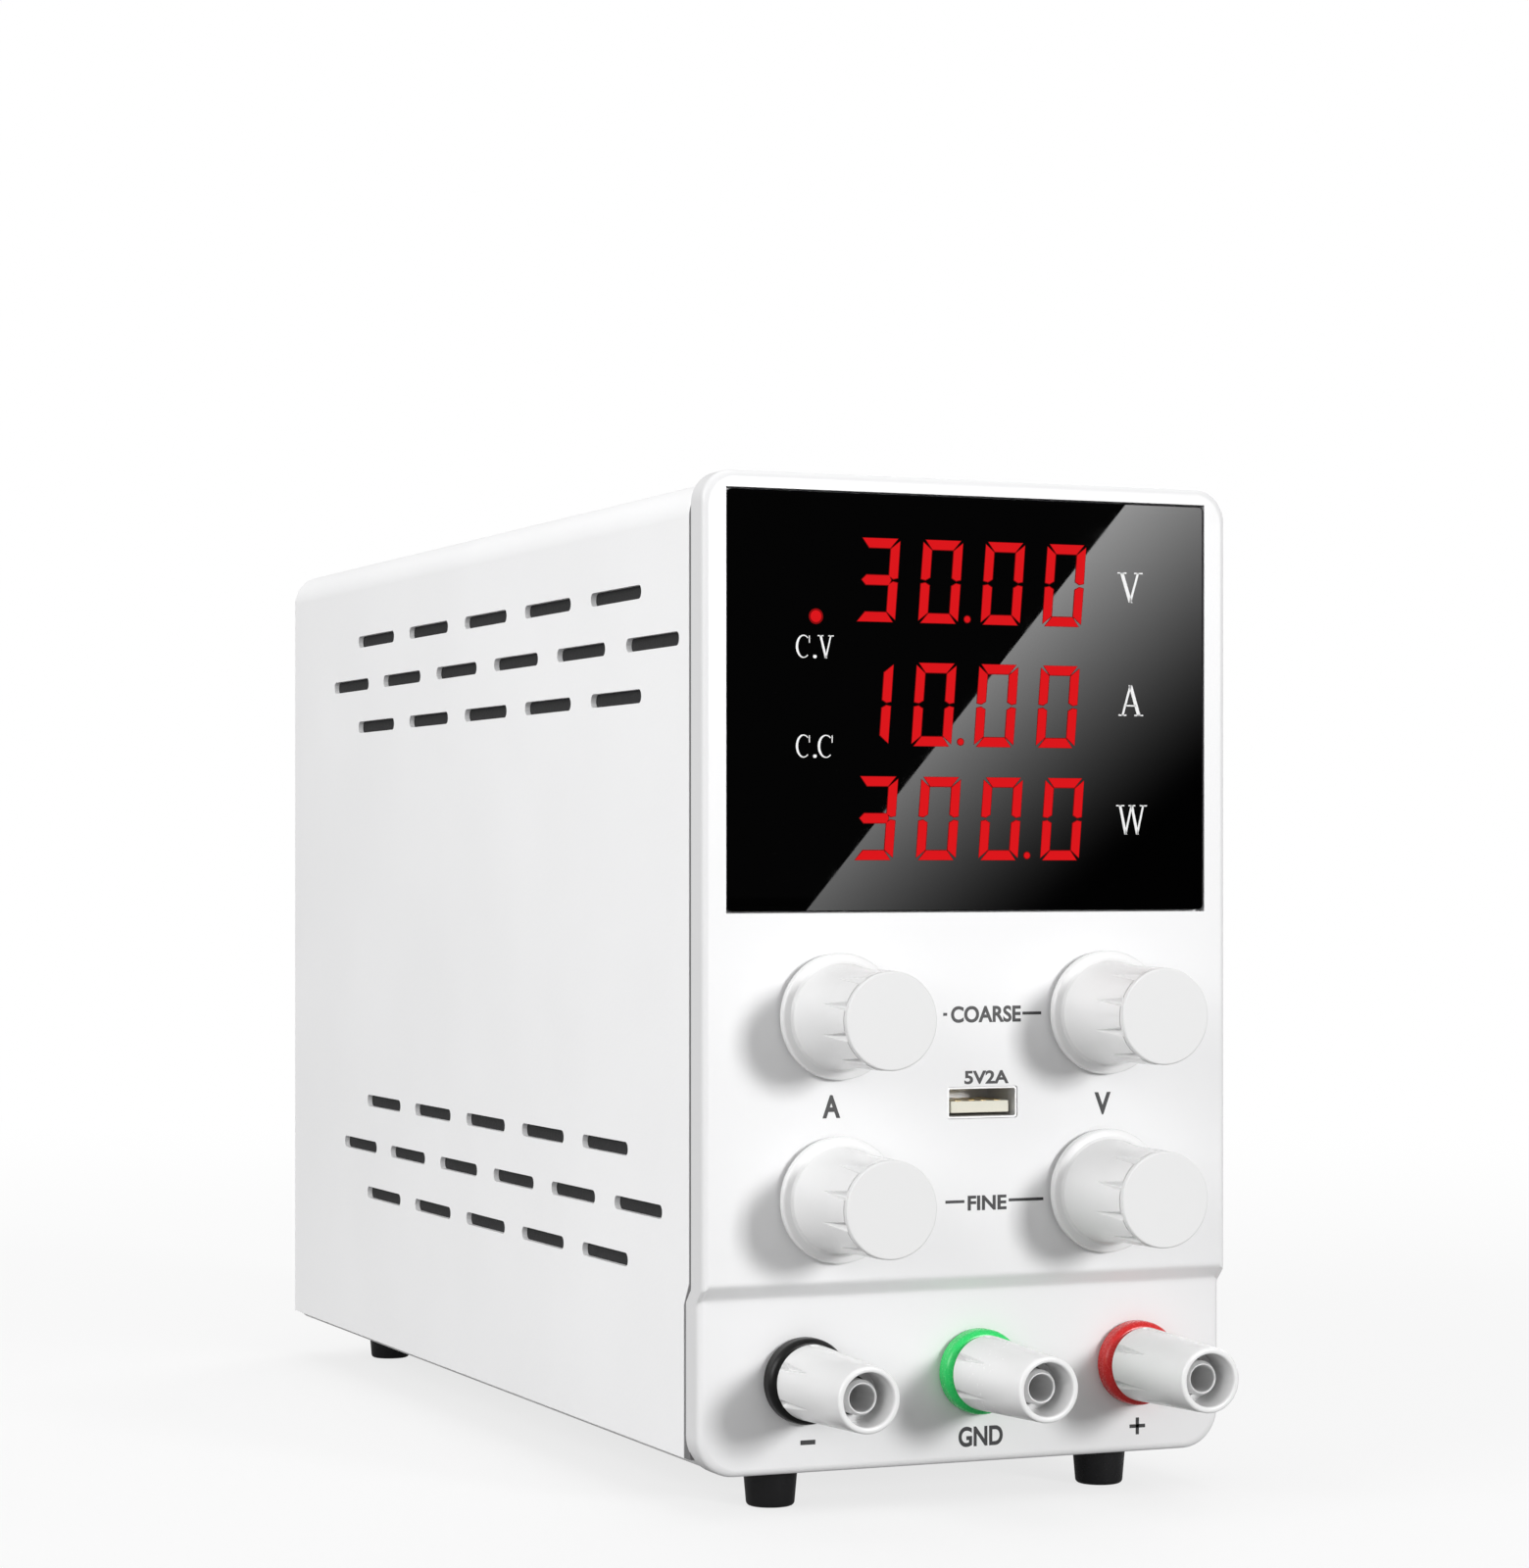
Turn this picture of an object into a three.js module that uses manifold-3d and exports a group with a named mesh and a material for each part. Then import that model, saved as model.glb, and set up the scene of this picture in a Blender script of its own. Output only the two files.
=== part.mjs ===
// A bench-top laboratory power supply with a fan-cooled switching converter inside.
// Millimetres, +Z up, front towards -Y. The origin lies on the table, under the middle of the
// whole object. Inside the body group, y = 0 is the upper front face and z = 0 is the lower edge
// of the front panel.
import * as THREE from "three";
import { mergeVertices } from "three/addons/utils/BufferGeometryUtils.js";
import Module from "manifold-3d";

const wasm = await Module();
wasm.setup();

// ---------- driving dimensions ----------
const GAP = 0.3; // clearance between neighbouring pieces
const ROUND = 20; // flats on a turned piece that is seen or held
const SMALL_ROUND = 12; // flats on a small or hidden one
const SHAFT_FIT = 0.15; // radial clearance of a knob on its shaft

const BODY_DEPTH = 235; // upper front face to the cover's rear edge
const PANEL_WIDTH = 94;
const PANEL_HEIGHT = 160;
const PANEL_RIM = 5; // depth of the front panel's visible side
const PANEL_WALL = 2.5;
const PANEL_EDGE = 1; // rounding of its front edge
const PANEL_TOP_RADIUS = 5;
const PANEL_BOTTOM_RADIUS = 6.5;
const STEP_BACK = 2.2; // the terminal strip is set back by this much
const STEP_LOW = 27; // the face slopes back between these two heights
const STEP_HIGH = 30;

const WINDOW_WIDTH = 85.4;
const WINDOW_HEIGHT = 67;
const WINDOW_BOTTOM = 90;
const WINDOW_THICKNESS = 1.5;
const WINDOW_LEDGE = 3; // width of the ledge the window is glued to
const WINDOW_INSET = 0.1; // its face lies this far behind the panel's

const COVER_SHEET = 1;
const COVER_WIDTH = PANEL_WIDTH - 1;
const COVER_TOP = PANEL_HEIGHT - 1.1;
const COVER_BOTTOM = 2.5;
const COVER_RADIUS = 6;
const COVER_FRONT = PANEL_RIM + GAP;

const BASE_SHEET = 1.2;
const BASE_UNDERSIDE = 1;
const BASE_TOP = BASE_UNDERSIDE + BASE_SHEET;
const BASE_BEND = 2;
const BASE_FLANGE = 12;
const BASE_FRONT = PANEL_RIM + STEP_BACK + GAP;
const INSIDE_HALF = COVER_WIDTH / 2 - COVER_SHEET - GAP; // half width left inside the cover

const REAR_SHEET = 1.2;
const REAR_FACE = BODY_DEPTH - 1; // the rear panel's outer face
const REAR_INNER = REAR_FACE - REAR_SHEET;

const SLOT_HEIGHT = 2.3;
const SLOT_MIDDLE = 108.5;
const SLOT_GROUPS = [
  { top: 142.4, rowPitch: 8.6, pitch: 34, length: 24 },
  { top: 50.2, rowPitch: 9.2, pitch: 31.4, length: 22 },
];
const SLOTS_PER_ROW = [5, 6, 5];

const KNOB_COLUMNS = { current: -24, voltage: 24 };
const KNOB_ROWS = { coarse: 73.2, fine: 43.9 };
const KNOB_LENGTH = 21.5;
const KNOB_FLANGE_RADIUS = 10.15;
const KNOB_GRIP_RADIUS = 7.8;
const KNOB_STANDOFF = 0.6;
const KNOB_GROOVES = 10;
const CAP_THICKNESS = 1;
const CAP_SPIGOT_RADIUS = 5.5;
const CAP_SPIGOT_LENGTH = 1.6;

const POT_BODY = 17;
const POT_DEPTH = 8.6;
const SHAFT_RADIUS = 3;
const BUSHING_RADIUS = 4.5;

const POST_HEIGHT = 15;
const POSTS = [
  { name: "negative", colour: 0x191919, x: -28.9 },
  { name: "ground", colour: 0x2de16e, x: 2 },
  { name: "positive", colour: 0xd72d2d, x: 30.9 },
];
const POST_LENGTH = 26;
const COLLAR_THICKNESS = 3.2;
const COLLAR_RADIUS = 6.95;
const COLLAR_SPIGOT_RADIUS = 4.6;
const NUT_BASE_RADIUS = 6.1;
const NUT_TIP_RADIUS = 5.25;
const NUT_FLUTES = 6;
const STUD_RADIUS = 2.8;
const SOCKET_RADIUS = 2.1; // takes a 4 mm plug

const USB_X = 2;
const USB_HEIGHT = 58.8;
const USB_SHELL = { width: 13.1, height: 5.7, wall: 0.3, depth: 9.2 };
const USB_OPENING = { width: 12.6, height: 5.2 }; // in the front panel, a little smaller than the shell
const USB_TONGUE = { halfWidth: 5.5, front: 1.2, low: -1.9, high: -0.1 };

const BOARD_SHEET = 1.6;
const CONTROL_BOARD_FRONT = 12.3;

const FOOT_REACH = 6.5; // below the front panel's lower edge
const FOOT_X = 30;
const FOOT_Y = { front: 13, rear: 220 };

const FAN_SIZE = 60;
const FAN_DEPTH = 20;
const FAN_HEIGHT = 108;
const FAN_BORE_RADIUS = 28.5;
const FAN_HOLE_OFFSET = 25;
const FAN_REAR = REAR_INNER - GAP;
const FAN_FRONT = FAN_REAR - FAN_DEPTH;
const FAN_BLADES = 7;
const FAN_HUB_RADIUS = 13;
const GUARD_WIRE = 0.8; // wire radius
const GUARD_RINGS = [11, 20.5, 30];

const INLET_X = -20;
const INLET_HEIGHT = 25;
const SWITCH_X = 24;
const SWITCH_HEIGHT = 38;
const SWITCH_TILT = 10; // degrees either side of level
const SELECTOR_HEIGHT = 16;
const FLANGE_THICKNESS = 1.8; // snap-in flanges on the rear panel

// ---------- materials ----------
const finish = (color, roughness, metalness) =>
  new THREE.MeshStandardMaterial({ color, roughness, metalness });
const MATERIALS = {
  panelPlastic: finish(0xf4f4f5, 0.4, 0),
  coverPaint: finish(0xf1f1f2, 0.5, 0),
  basePaint: finish(0xe6e6e8, 0.5, 0),
  knobPlastic: finish(0xfafafa, 0.3, 0),
  capPlastic: finish(0xeeeeee, 0.45, 0),
  smokedAcrylic: finish(0x050505, 0.05, 0),
  nickel: finish(0xbdbdbd, 0.3, 1),
  steel: finish(0x9a9a9a, 0.35, 1),
  aluminium: finish(0xb8babd, 0.4, 1),
  blackPlastic: finish(0x161616, 0.45, 0),
  redPlastic: finish(0xc01818, 0.4, 0),
  rubber: finish(0x1c1c1c, 0.6, 0),
  circuitBoard: finish(0x1d5b34, 0.5, 0),
  ferrite: finish(0x34302e, 0.7, 0),
  capacitorSleeve: finish(0x22305c, 0.4, 0),
  ledModule: finish(0x2a2a2a, 0.6, 0),
};

// ---------- solids: join and cut ----------
function solid(geometry) {
  const bare = geometry.clone();
  bare.deleteAttribute("normal");
  bare.deleteAttribute("uv");
  const merged = mergeVertices(bare, 1e-4);
  return new wasm.Manifold(
    new wasm.Mesh({
      numProp: 3,
      vertProperties: merged.attributes.position.array,
      triVerts: new Uint32Array(merged.index.array),
    }),
  );
}

const asSolid = (shape) => (shape.isBufferGeometry ? solid(shape) : shape);
const join = (...shapes) => shapes.map(asSolid).reduce((sum, next) => sum.add(next));
const cut = (first, ...cutters) =>
  cutters.map(asSolid).reduce((rest, cutter) => rest.subtract(cutter), asSolid(first));
const overlap = (first, second) => asSolid(first).intersect(asSolid(second));

function geometryOf(manifold) {
  const mesh = manifold.getMesh();
  const geometry = new THREE.BufferGeometry();
  geometry.setAttribute("position", new THREE.BufferAttribute(new Float32Array(mesh.vertProperties), 3));
  geometry.setIndex(new THREE.BufferAttribute(new Uint32Array(mesh.triVerts), 1));
  geometry.computeVertexNormals();
  return geometry;
}

// ---------- outlines and prisms ----------
function polygon(points) {
  return new THREE.Shape(points.map(([x, y]) => new THREE.Vector2(x, y)));
}

// A rectangle from (left, low) to (right, high) whose lower and upper corners are rounded.
function roundedRectangle(left, low, right, high, lowRadius, highRadius = lowRadius) {
  const shape = new THREE.Shape();
  shape.moveTo(left + lowRadius, low);
  shape.lineTo(right - lowRadius, low);
  shape.absarc(right - lowRadius, low + lowRadius, lowRadius, -Math.PI / 2, 0);
  shape.lineTo(right, high - highRadius);
  shape.absarc(right - highRadius, high - highRadius, highRadius, 0, Math.PI / 2);
  shape.lineTo(left + highRadius, high);
  shape.absarc(left + highRadius, high - highRadius, highRadius, Math.PI / 2, Math.PI);
  shape.lineTo(left, low + lowRadius);
  shape.absarc(left + lowRadius, low + lowRadius, lowRadius, Math.PI, Math.PI * 1.5);
  return shape;
}

// A shape drawn in X and Z, swept from yFront back to yBack, with an optional rounded edge.
function alongY(shape, yFront, yBack, edge = 0, curveSegments = 4) {
  const options = { depth: yBack - yFront - 2 * edge, curveSegments, bevelEnabled: edge > 0 };
  Object.assign(options, { bevelThickness: edge, bevelSize: edge, bevelOffset: -edge, bevelSegments: 2 });
  const geometry = new THREE.ExtrudeGeometry(shape, options);
  return geometry.rotateX(Math.PI / 2).translate(0, yBack - edge, 0);
}

// A shape drawn in Y and Z, swept from xLeft to xRight.
function alongX(shape, xLeft, xRight) {
  const geometry = new THREE.ExtrudeGeometry(shape, {
    depth: xRight - xLeft,
    bevelEnabled: false,
  });
  const turn = new THREE.Matrix4().makeBasis(
    new THREE.Vector3(0, 1, 0),
    new THREE.Vector3(0, 0, 1),
    new THREE.Vector3(1, 0, 0),
  );
  return geometry.applyMatrix4(turn).translate(xLeft, 0, 0);
}

function box(xLeft, xRight, yFront, yBack, zLow, zHigh) {
  const geometry = new THREE.BoxGeometry(xRight - xLeft, yBack - yFront, zHigh - zLow);
  return geometry.translate((xLeft + xRight) / 2, (yFront + yBack) / 2, (zLow + zHigh) / 2);
}

// A disc or rod along Y.
function rodY(x, z, radius, yFront, yBack, sides = SMALL_ROUND) {
  const geometry = new THREE.CylinderGeometry(radius, radius, yBack - yFront, sides);
  return geometry.translate(x, (yFront + yBack) / 2, z);
}

// A rod along Z.
function rodZ(x, y, radius, zLow, zHigh, sides = SMALL_ROUND) {
  const geometry = new THREE.CylinderGeometry(radius, radius, zHigh - zLow, sides);
  return geometry.rotateX(Math.PI / 2).translate(x, y, (zLow + zHigh) / 2);
}

// A profile of [radius, y] points, listed towards +Y along its outside, turned round the Y axis.
function turned(profile, sides = ROUND) {
  return new THREE.LatheGeometry(
    profile.map(([radius, y]) => new THREE.Vector2(radius, y)),
    sides,
  );
}

// ---------- pieces and their places ----------
const body = new THREE.Group();

function place(name, shape, material, x = 0, y = 0, z = 0) {
  const mesh = new THREE.Mesh(shape.isBufferGeometry ? shape : geometryOf(shape), material);
  mesh.name = name;
  mesh.position.set(x, y, z);
  body.add(mesh);
}

// ---------- front panel ----------
function panelOutline(inset) {
  return roundedRectangle(
    -PANEL_WIDTH / 2 + inset,
    inset,
    PANEL_WIDTH / 2 - inset,
    PANEL_HEIGHT - inset,
    PANEL_BOTTOM_RADIUS - inset,
    PANEL_TOP_RADIUS - inset,
  );
}

// The space behind the stepped line that runs at y = front above the step.
function behindStep(front) {
  const far = 40;
  return alongX(
    polygon([
      [front, PANEL_HEIGHT + 1],
      [front, STEP_HIGH],
      [front + STEP_BACK, STEP_LOW],
      [front + STEP_BACK, -1],
      [far, -1],
      [far, PANEL_HEIGHT + 1],
    ]),
    -PANEL_WIDTH,
    PANEL_WIDTH,
  );
}

const knobPlaces = Object.entries(KNOB_COLUMNS).flatMap(([column, x]) =>
  Object.entries(KNOB_ROWS).map(([row, z]) => ({ name: `${column}_${row}`, x, z })),
);

function frontPanel() {
  const upperSlab = alongY(panelOutline(0), 0, PANEL_RIM + STEP_BACK + PANEL_EDGE, PANEL_EDGE);
  const lowerSlab = alongY(
    panelOutline(0),
    STEP_BACK,
    PANEL_RIM + STEP_BACK + PANEL_EDGE,
    PANEL_EDGE,
  );
  const upperPart = overlap(upperSlab, behindStep(0));
  const slab = cut(join(upperPart, lowerSlab), behindStep(PANEL_RIM));
  const pocket = overlap(alongY(panelOutline(PANEL_WALL), 0, 30), behindStep(PANEL_WALL));
  const lip = cut(
    alongY(insideCover(0, BASE_TOP), PANEL_WALL + 1, PANEL_RIM + STEP_BACK + 4),
    alongY(insideCover(1.4, BASE_TOP), 0, 30),
    box(-PANEL_WIDTH, PANEL_WIDTH, 0, 30, -1, BASE_FLANGE + 3),
  );
  const windowHalf = WINDOW_WIDTH / 2 + GAP;
  const windowTop = WINDOW_BOTTOM + WINDOW_HEIGHT;
  const windowSeat = box(
    -windowHalf,
    windowHalf,
    -1,
    WINDOW_THICKNESS + GAP,
    WINDOW_BOTTOM - GAP,
    windowTop + GAP,
  );
  const windowHole = box(
    -windowHalf + WINDOW_LEDGE,
    windowHalf - WINDOW_LEDGE,
    -1,
    9,
    WINDOW_BOTTOM + WINDOW_LEDGE,
    windowTop - WINDOW_LEDGE,
  );
  const knobHoles = knobPlaces.map(({ x, z }) => rodY(x, z, BUSHING_RADIUS + GAP, -1, 9));
  const postHoles = POSTS.map(({ x }) => rodY(x, POST_HEIGHT, COLLAR_SPIGOT_RADIUS + GAP, -1, 9));
  const usbHole = box(
    USB_X - USB_OPENING.width / 2,
    USB_X + USB_OPENING.width / 2,
    -1,
    9,
    USB_HEIGHT - USB_OPENING.height / 2,
    USB_HEIGHT + USB_OPENING.height / 2,
  );
  return cut(join(cut(slab, pocket), lip), windowSeat, windowHole, usbHole, ...knobHoles, ...postHoles);
}

function displayWindow() {
  const half = WINDOW_WIDTH / 2;
  const back = WINDOW_INSET + WINDOW_THICKNESS;
  return box(-half, half, WINDOW_INSET, back, WINDOW_BOTTOM, WINDOW_BOTTOM + WINDOW_HEIGHT);
}

// ---------- sheet-metal case ----------
// The outline of a piece that fits inside the cover, down to a given height.
function insideCover(inset, low) {
  const half = INSIDE_HALF - inset;
  const top = COVER_TOP - COVER_SHEET - GAP - inset;
  return roundedRectangle(-half, low, half, top, 0.5, COVER_RADIUS - COVER_SHEET - GAP - inset);
}

// The inverted U of the cover, drawn in X and Z.
function coverBand() {
  const half = COVER_WIDTH / 2;
  const inner = half - COVER_SHEET;
  const centreZ = COVER_TOP - COVER_RADIUS;
  const centreX = half - COVER_RADIUS;
  const shape = new THREE.Shape();
  shape.moveTo(half, COVER_BOTTOM);
  shape.lineTo(half, centreZ);
  shape.absarc(centreX, centreZ, COVER_RADIUS, 0, Math.PI / 2);
  shape.absarc(-centreX, centreZ, COVER_RADIUS, Math.PI / 2, Math.PI);
  shape.lineTo(-half, COVER_BOTTOM);
  shape.lineTo(-inner, COVER_BOTTOM);
  shape.lineTo(-inner, centreZ);
  shape.absarc(-centreX, centreZ, COVER_RADIUS - COVER_SHEET, Math.PI, Math.PI / 2, true);
  shape.absarc(centreX, centreZ, COVER_RADIUS - COVER_SHEET, Math.PI / 2, 0, true);
  shape.lineTo(inner, COVER_BOTTOM);
  return shape;
}

// One ventilation slot through both side walls.
function slotCutter(y, z, length) {
  const half = SLOT_HEIGHT / 2;
  const reach = length / 2;
  const outline = [-1, 1].flatMap((end) => [
    [y + end * (reach - half), z - end * half],
    [y + end * reach, z],
    [y + end * (reach - half), z + end * half],
  ]);
  return alongX(polygon(outline), -PANEL_WIDTH, PANEL_WIDTH);
}

function ventSlots() {
  return SLOT_GROUPS.flatMap(({ top, rowPitch, pitch, length }) =>
    SLOTS_PER_ROW.flatMap((count, row) =>
      Array.from({ length: count }, (_, index) => {
        const fromMiddle = (index - (count - 1) / 2) * pitch;
        return slotCutter(SLOT_MIDDLE + fromMiddle, top - row * rowPitch, length);
      }),
    ),
  );
}

function caseCover() {
  const shell = alongY(coverBand(), COVER_FRONT, BODY_DEPTH, 0, 5);
  return overlap(cut(shell, ...ventSlots()), wholeBehindStep());
}

// The space behind the front panel's rear edge, as deep as the case.
function wholeBehindStep() {
  return join(
    behindStep(COVER_FRONT),
    box(-PANEL_WIDTH, PANEL_WIDTH, 39, BODY_DEPTH + 1, -1, PANEL_HEIGHT + 1),
  );
}

const STANDOFF_PLACES = [
  [-36, 36],
  [36, 36],
  [-36, 192],
  [36, 192],
];
const MAIN_BOARD_UNDERSIDE = 8;
const MAIN_BOARD = { half: 42, front: 28, back: 200 };

function footPlaces() {
  return [
    { name: "front_left", x: -FOOT_X, y: FOOT_Y.front },
    { name: "front_right", x: FOOT_X, y: FOOT_Y.front },
    { name: "rear_left", x: -FOOT_X, y: FOOT_Y.rear },
    { name: "rear_right", x: FOOT_X, y: FOOT_Y.rear },
  ];
}

const FOOT_STEM_RADIUS = 1.8;
const FOOT_RADII = { tread: 3.5, above: 3.95, shoulder: 4.55 };

function baseChassis() {
  const rim = BASE_UNDERSIDE + BASE_FLANGE;
  const outer = roundedRectangle(-INSIDE_HALF, BASE_UNDERSIDE, INSIDE_HALF, rim + BASE_BEND, BASE_BEND);
  const inner = roundedRectangle(
    -INSIDE_HALF + BASE_SHEET,
    BASE_TOP,
    INSIDE_HALF - BASE_SHEET,
    rim + 9,
    BASE_BEND - BASE_SHEET,
  );
  const rearEdge = REAR_FACE + 0.5;
  const sideEnd = REAR_INNER - 1.8; // the sides stop short of the rear panel
  const standoffRadius = 3;
  const tray = cut(
    alongY(outer, BASE_FRONT, rearEdge, 0, 3),
    alongY(inner, 0, BODY_DEPTH, 0, 3),
    box(-PANEL_WIDTH, PANEL_WIDTH, 0, BODY_DEPTH, rim, rim + 9),
    box(-PANEL_WIDTH, PANEL_WIDTH, sideEnd, BODY_DEPTH, BASE_TOP, rim + 9),
  );
  const standoffs = STANDOFF_PLACES.map(([x, y]) =>
    rodZ(x, y, standoffRadius, BASE_TOP - 0.5, MAIN_BOARD_UNDERSIDE - GAP),
  );
  const footHoles = footPlaces().map(({ x, y }) => rodZ(x, y, FOOT_STEM_RADIUS + GAP, 0, BASE_TOP + 1));
  return cut(join(tray, ...standoffs), ...footHoles);
}

// A push-in rubber foot: a tapered pad, a stem through the base and a head that holds it.
function foot() {
  const top = BASE_UNDERSIDE - GAP;
  const head = BASE_TOP + GAP;
  const headHeight = 1.8;
  const { tread, above, shoulder } = FOOT_RADII;
  const profile = [
    [0, -FOOT_REACH],
    [tread, -FOOT_REACH],
    [above, -FOOT_REACH + 0.6],
    [shoulder, top],
    [FOOT_STEM_RADIUS, top],
    [FOOT_STEM_RADIUS, head],
    [FOOT_STEM_RADIUS + 1, head],
    [FOOT_STEM_RADIUS - 0.2, head + headHeight],
    [0, head + headHeight],
  ];
  return turned(profile, SMALL_ROUND).rotateX(Math.PI / 2);
}

// ---------- knobs, caps, shafts and potentiometers ----------
// Half of the knob's outside, from the panel forwards: a rim, then a flare that runs into the grip.
function knobFlare() {
  const flareStart = -2.6;
  const flareEnd = -12;
  const startRadius = 8.9;
  const steps = 2;
  return Array.from({ length: steps + 1 }, (_, index) => {
    const t = index / steps;
    const ease = (1 - t) ** 2;
    const radius = KNOB_GRIP_RADIUS + 0.15 + (startRadius - KNOB_GRIP_RADIUS) * ease;
    return [radius, flareStart + (flareEnd - flareStart) * t];
  });
}

function knob() {
  const back = -KNOB_STANDOFF;
  const end = -KNOB_LENGTH + CAP_THICKNESS + 0.1;
  const boreRadius = SHAFT_RADIUS + SHAFT_FIT;
  const boreEnd = -16;
  const skirtRadius = 6.5; // clears the bushing's nut
  const skirtDepth = -4.5;
  const spigotSeat = end + CAP_SPIGOT_LENGTH + 0.1;
  const rimFront = -2;
  const profile = [
    [0, spigotSeat],
    [CAP_SPIGOT_RADIUS + SHAFT_FIT, spigotSeat],
    [CAP_SPIGOT_RADIUS + SHAFT_FIT, end],
    [KNOB_GRIP_RADIUS, end],
    ...knobFlare().reverse(),
    [KNOB_FLANGE_RADIUS, rimFront],
    [KNOB_FLANGE_RADIUS, back],
    [skirtRadius, back],
    [skirtRadius, skirtDepth],
    [boreRadius, skirtDepth],
    [boreRadius, boreEnd],
    [0, boreEnd],
  ];
  return cut(turned(profile), ...knobGrooves(end));
}

// Wedge-shaped grooves: wide and deep at the cap, running out towards the panel.
function knobGrooves(end) {
  const length = 8.4;
  const depth = 0.8;
  const halfWidth = 0.5;
  const reach = KNOB_GRIP_RADIUS + 1;
  return Array.from({ length: KNOB_GROOVES }, (_, index) => {
    const wedge = alongX(
      polygon([
        [end - 1, KNOB_GRIP_RADIUS - depth],
        [end, KNOB_GRIP_RADIUS - depth],
        [end + length, KNOB_GRIP_RADIUS + 0.25],
        [end + length, reach],
        [end - 1, reach],
      ]),
      -halfWidth,
      halfWidth,
    );
    return wedge.rotateY((index * 2 * Math.PI) / KNOB_GROOVES);
  });
}

function knobCap() {
  const face = -KNOB_LENGTH;
  const seat = face + CAP_THICKNESS;
  const radius = KNOB_GRIP_RADIUS - 0.05;
  const chamfer = 0.25;
  const profile = [
    [0, face],
    [radius - chamfer, face],
    [radius, face + chamfer],
    [radius, seat],
    [CAP_SPIGOT_RADIUS, seat],
    [CAP_SPIGOT_RADIUS, seat + CAP_SPIGOT_LENGTH],
    [0, seat + CAP_SPIGOT_LENGTH],
  ];
  return turned(profile);
}

const POT_FRONT = PANEL_WALL + GAP + 0.3;

function potentiometer() {
  const half = POT_BODY / 2;
  const bushingFront = -3.5;
  const boreDepth = 5.5;
  const bodyBlock = box(-half, half, POT_FRONT, POT_FRONT + POT_DEPTH, -half, half);
  const bushing = rodY(0, 0, BUSHING_RADIUS, bushingFront, POT_FRONT + 0.5);
  const bore = rodY(0, 0, SHAFT_RADIUS + GAP, bushingFront - 1, POT_FRONT + boreDepth);
  return cut(join(bodyBlock, bushing), bore);
}

// A shaft with a flat for the knob along its front part.
function potentiometerShaft() {
  const tip = -15.7;
  const rear = POT_FRONT + 5;
  const flatEnd = -6;
  const flatDepth = 0.8;
  const reach = SHAFT_RADIUS + 1;
  const rod = rodY(0, 0, SHAFT_RADIUS, tip, rear);
  const flat = box(-reach, reach, tip - 1, flatEnd, SHAFT_RADIUS - flatDepth, reach);
  return cut(rod, flat);
}

function addControls() {
  for (const { name, x, z } of knobPlaces) {
    place(`${name}_knob`, knob(), MATERIALS.knobPlastic, x, 0, z);
    place(`${name}_knob_cap`, knobCap(), MATERIALS.capPlastic, x, 0, z);
    place(`${name}_shaft`, potentiometerShaft(), MATERIALS.aluminium, x, 0, z);
    place(`${name}_potentiometer`, potentiometer(), MATERIALS.steel, x, 0, z);
  }
}

// ---------- binding posts ----------
// In these profiles y = 0 is the terminal strip's face.
const WASHER_SEAT = -COLLAR_THICKNESS + 1.4; // floor of the collar's recess for the washer
const WASHER_RADIUS = 4.4;
const NUT_BASE = -COLLAR_THICKNESS - GAP;
const COLLAR_BACK = STEP_BACK + 4; // the rear end of the collar's spigot

function postCollar() {
  const front = -COLLAR_THICKNESS;
  const bore = STUD_RADIUS + GAP;
  const rounding = 0.9;
  const profile = [
    [bore, WASHER_SEAT],
    [WASHER_RADIUS + GAP, WASHER_SEAT],
    [WASHER_RADIUS + GAP, front],
    [COLLAR_RADIUS - rounding, front],
    [COLLAR_RADIUS, front + rounding],
    [COLLAR_RADIUS, -GAP],
    [COLLAR_SPIGOT_RADIUS, -GAP],
    [COLLAR_SPIGOT_RADIUS, COLLAR_BACK],
    [bore, COLLAR_BACK],
    [bore, WASHER_SEAT],
  ];
  return turned(profile);
}

function postWasher() {
  const inner = STUD_RADIUS + GAP;
  const front = WASHER_SEAT - GAP - 0.8;
  const back = WASHER_SEAT - GAP;
  const profile = [
    [inner, front],
    [WASHER_RADIUS, front],
    [WASHER_RADIUS, back],
    [inner, back],
    [inner, front],
  ];
  return turned(profile, SMALL_ROUND);
}

function thumbNut() {
  const tip = -POST_LENGTH;
  const bore = STUD_RADIUS + GAP;
  const mouth = 4.2; // radius of the shroud round the socket
  const mouthDepth = 7;
  const profile = [
    [bore, tip + mouthDepth],
    [mouth, tip + mouthDepth],
    [mouth, tip + 0.4],
    [mouth + 0.3, tip],
    [NUT_TIP_RADIUS - 0.5, tip],
    [NUT_TIP_RADIUS, tip + 0.6],
    [NUT_BASE_RADIUS, NUT_BASE - 0.5],
    [NUT_BASE_RADIUS - 0.4, NUT_BASE],
    [bore, NUT_BASE],
    [bore, tip + mouthDepth],
  ];
  return cut(turned(profile), ...nutFlutes());
}

// Wedge-shaped flutes: wide and deep at the collar, running out towards the tip.
function nutFlutes() {
  const length = 12;
  const halfWidth = 0.6;
  const floor = NUT_BASE_RADIUS - 1;
  return Array.from({ length: NUT_FLUTES }, (_, index) => {
    const wedge = alongY(
      polygon([
        [-halfWidth, floor],
        [halfWidth, floor],
        [halfWidth, NUT_BASE_RADIUS + 1],
        [-halfWidth, NUT_BASE_RADIUS + 1],
      ]),
      NUT_BASE - length,
      NUT_BASE + 1,
    );
    const ramp = alongX(
      polygon([
        [NUT_BASE + 1, floor - 1],
        [NUT_BASE + 1, NUT_BASE_RADIUS + 1],
        [NUT_BASE - length, NUT_BASE_RADIUS + 1],
        [NUT_BASE - length, NUT_BASE_RADIUS - 0.4],
        [NUT_BASE, floor],
      ]),
      -halfWidth,
      halfWidth,
    );
    return overlap(wedge, ramp).rotate([0, (index * 360) / NUT_FLUTES, 0]);
  });
}

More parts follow.
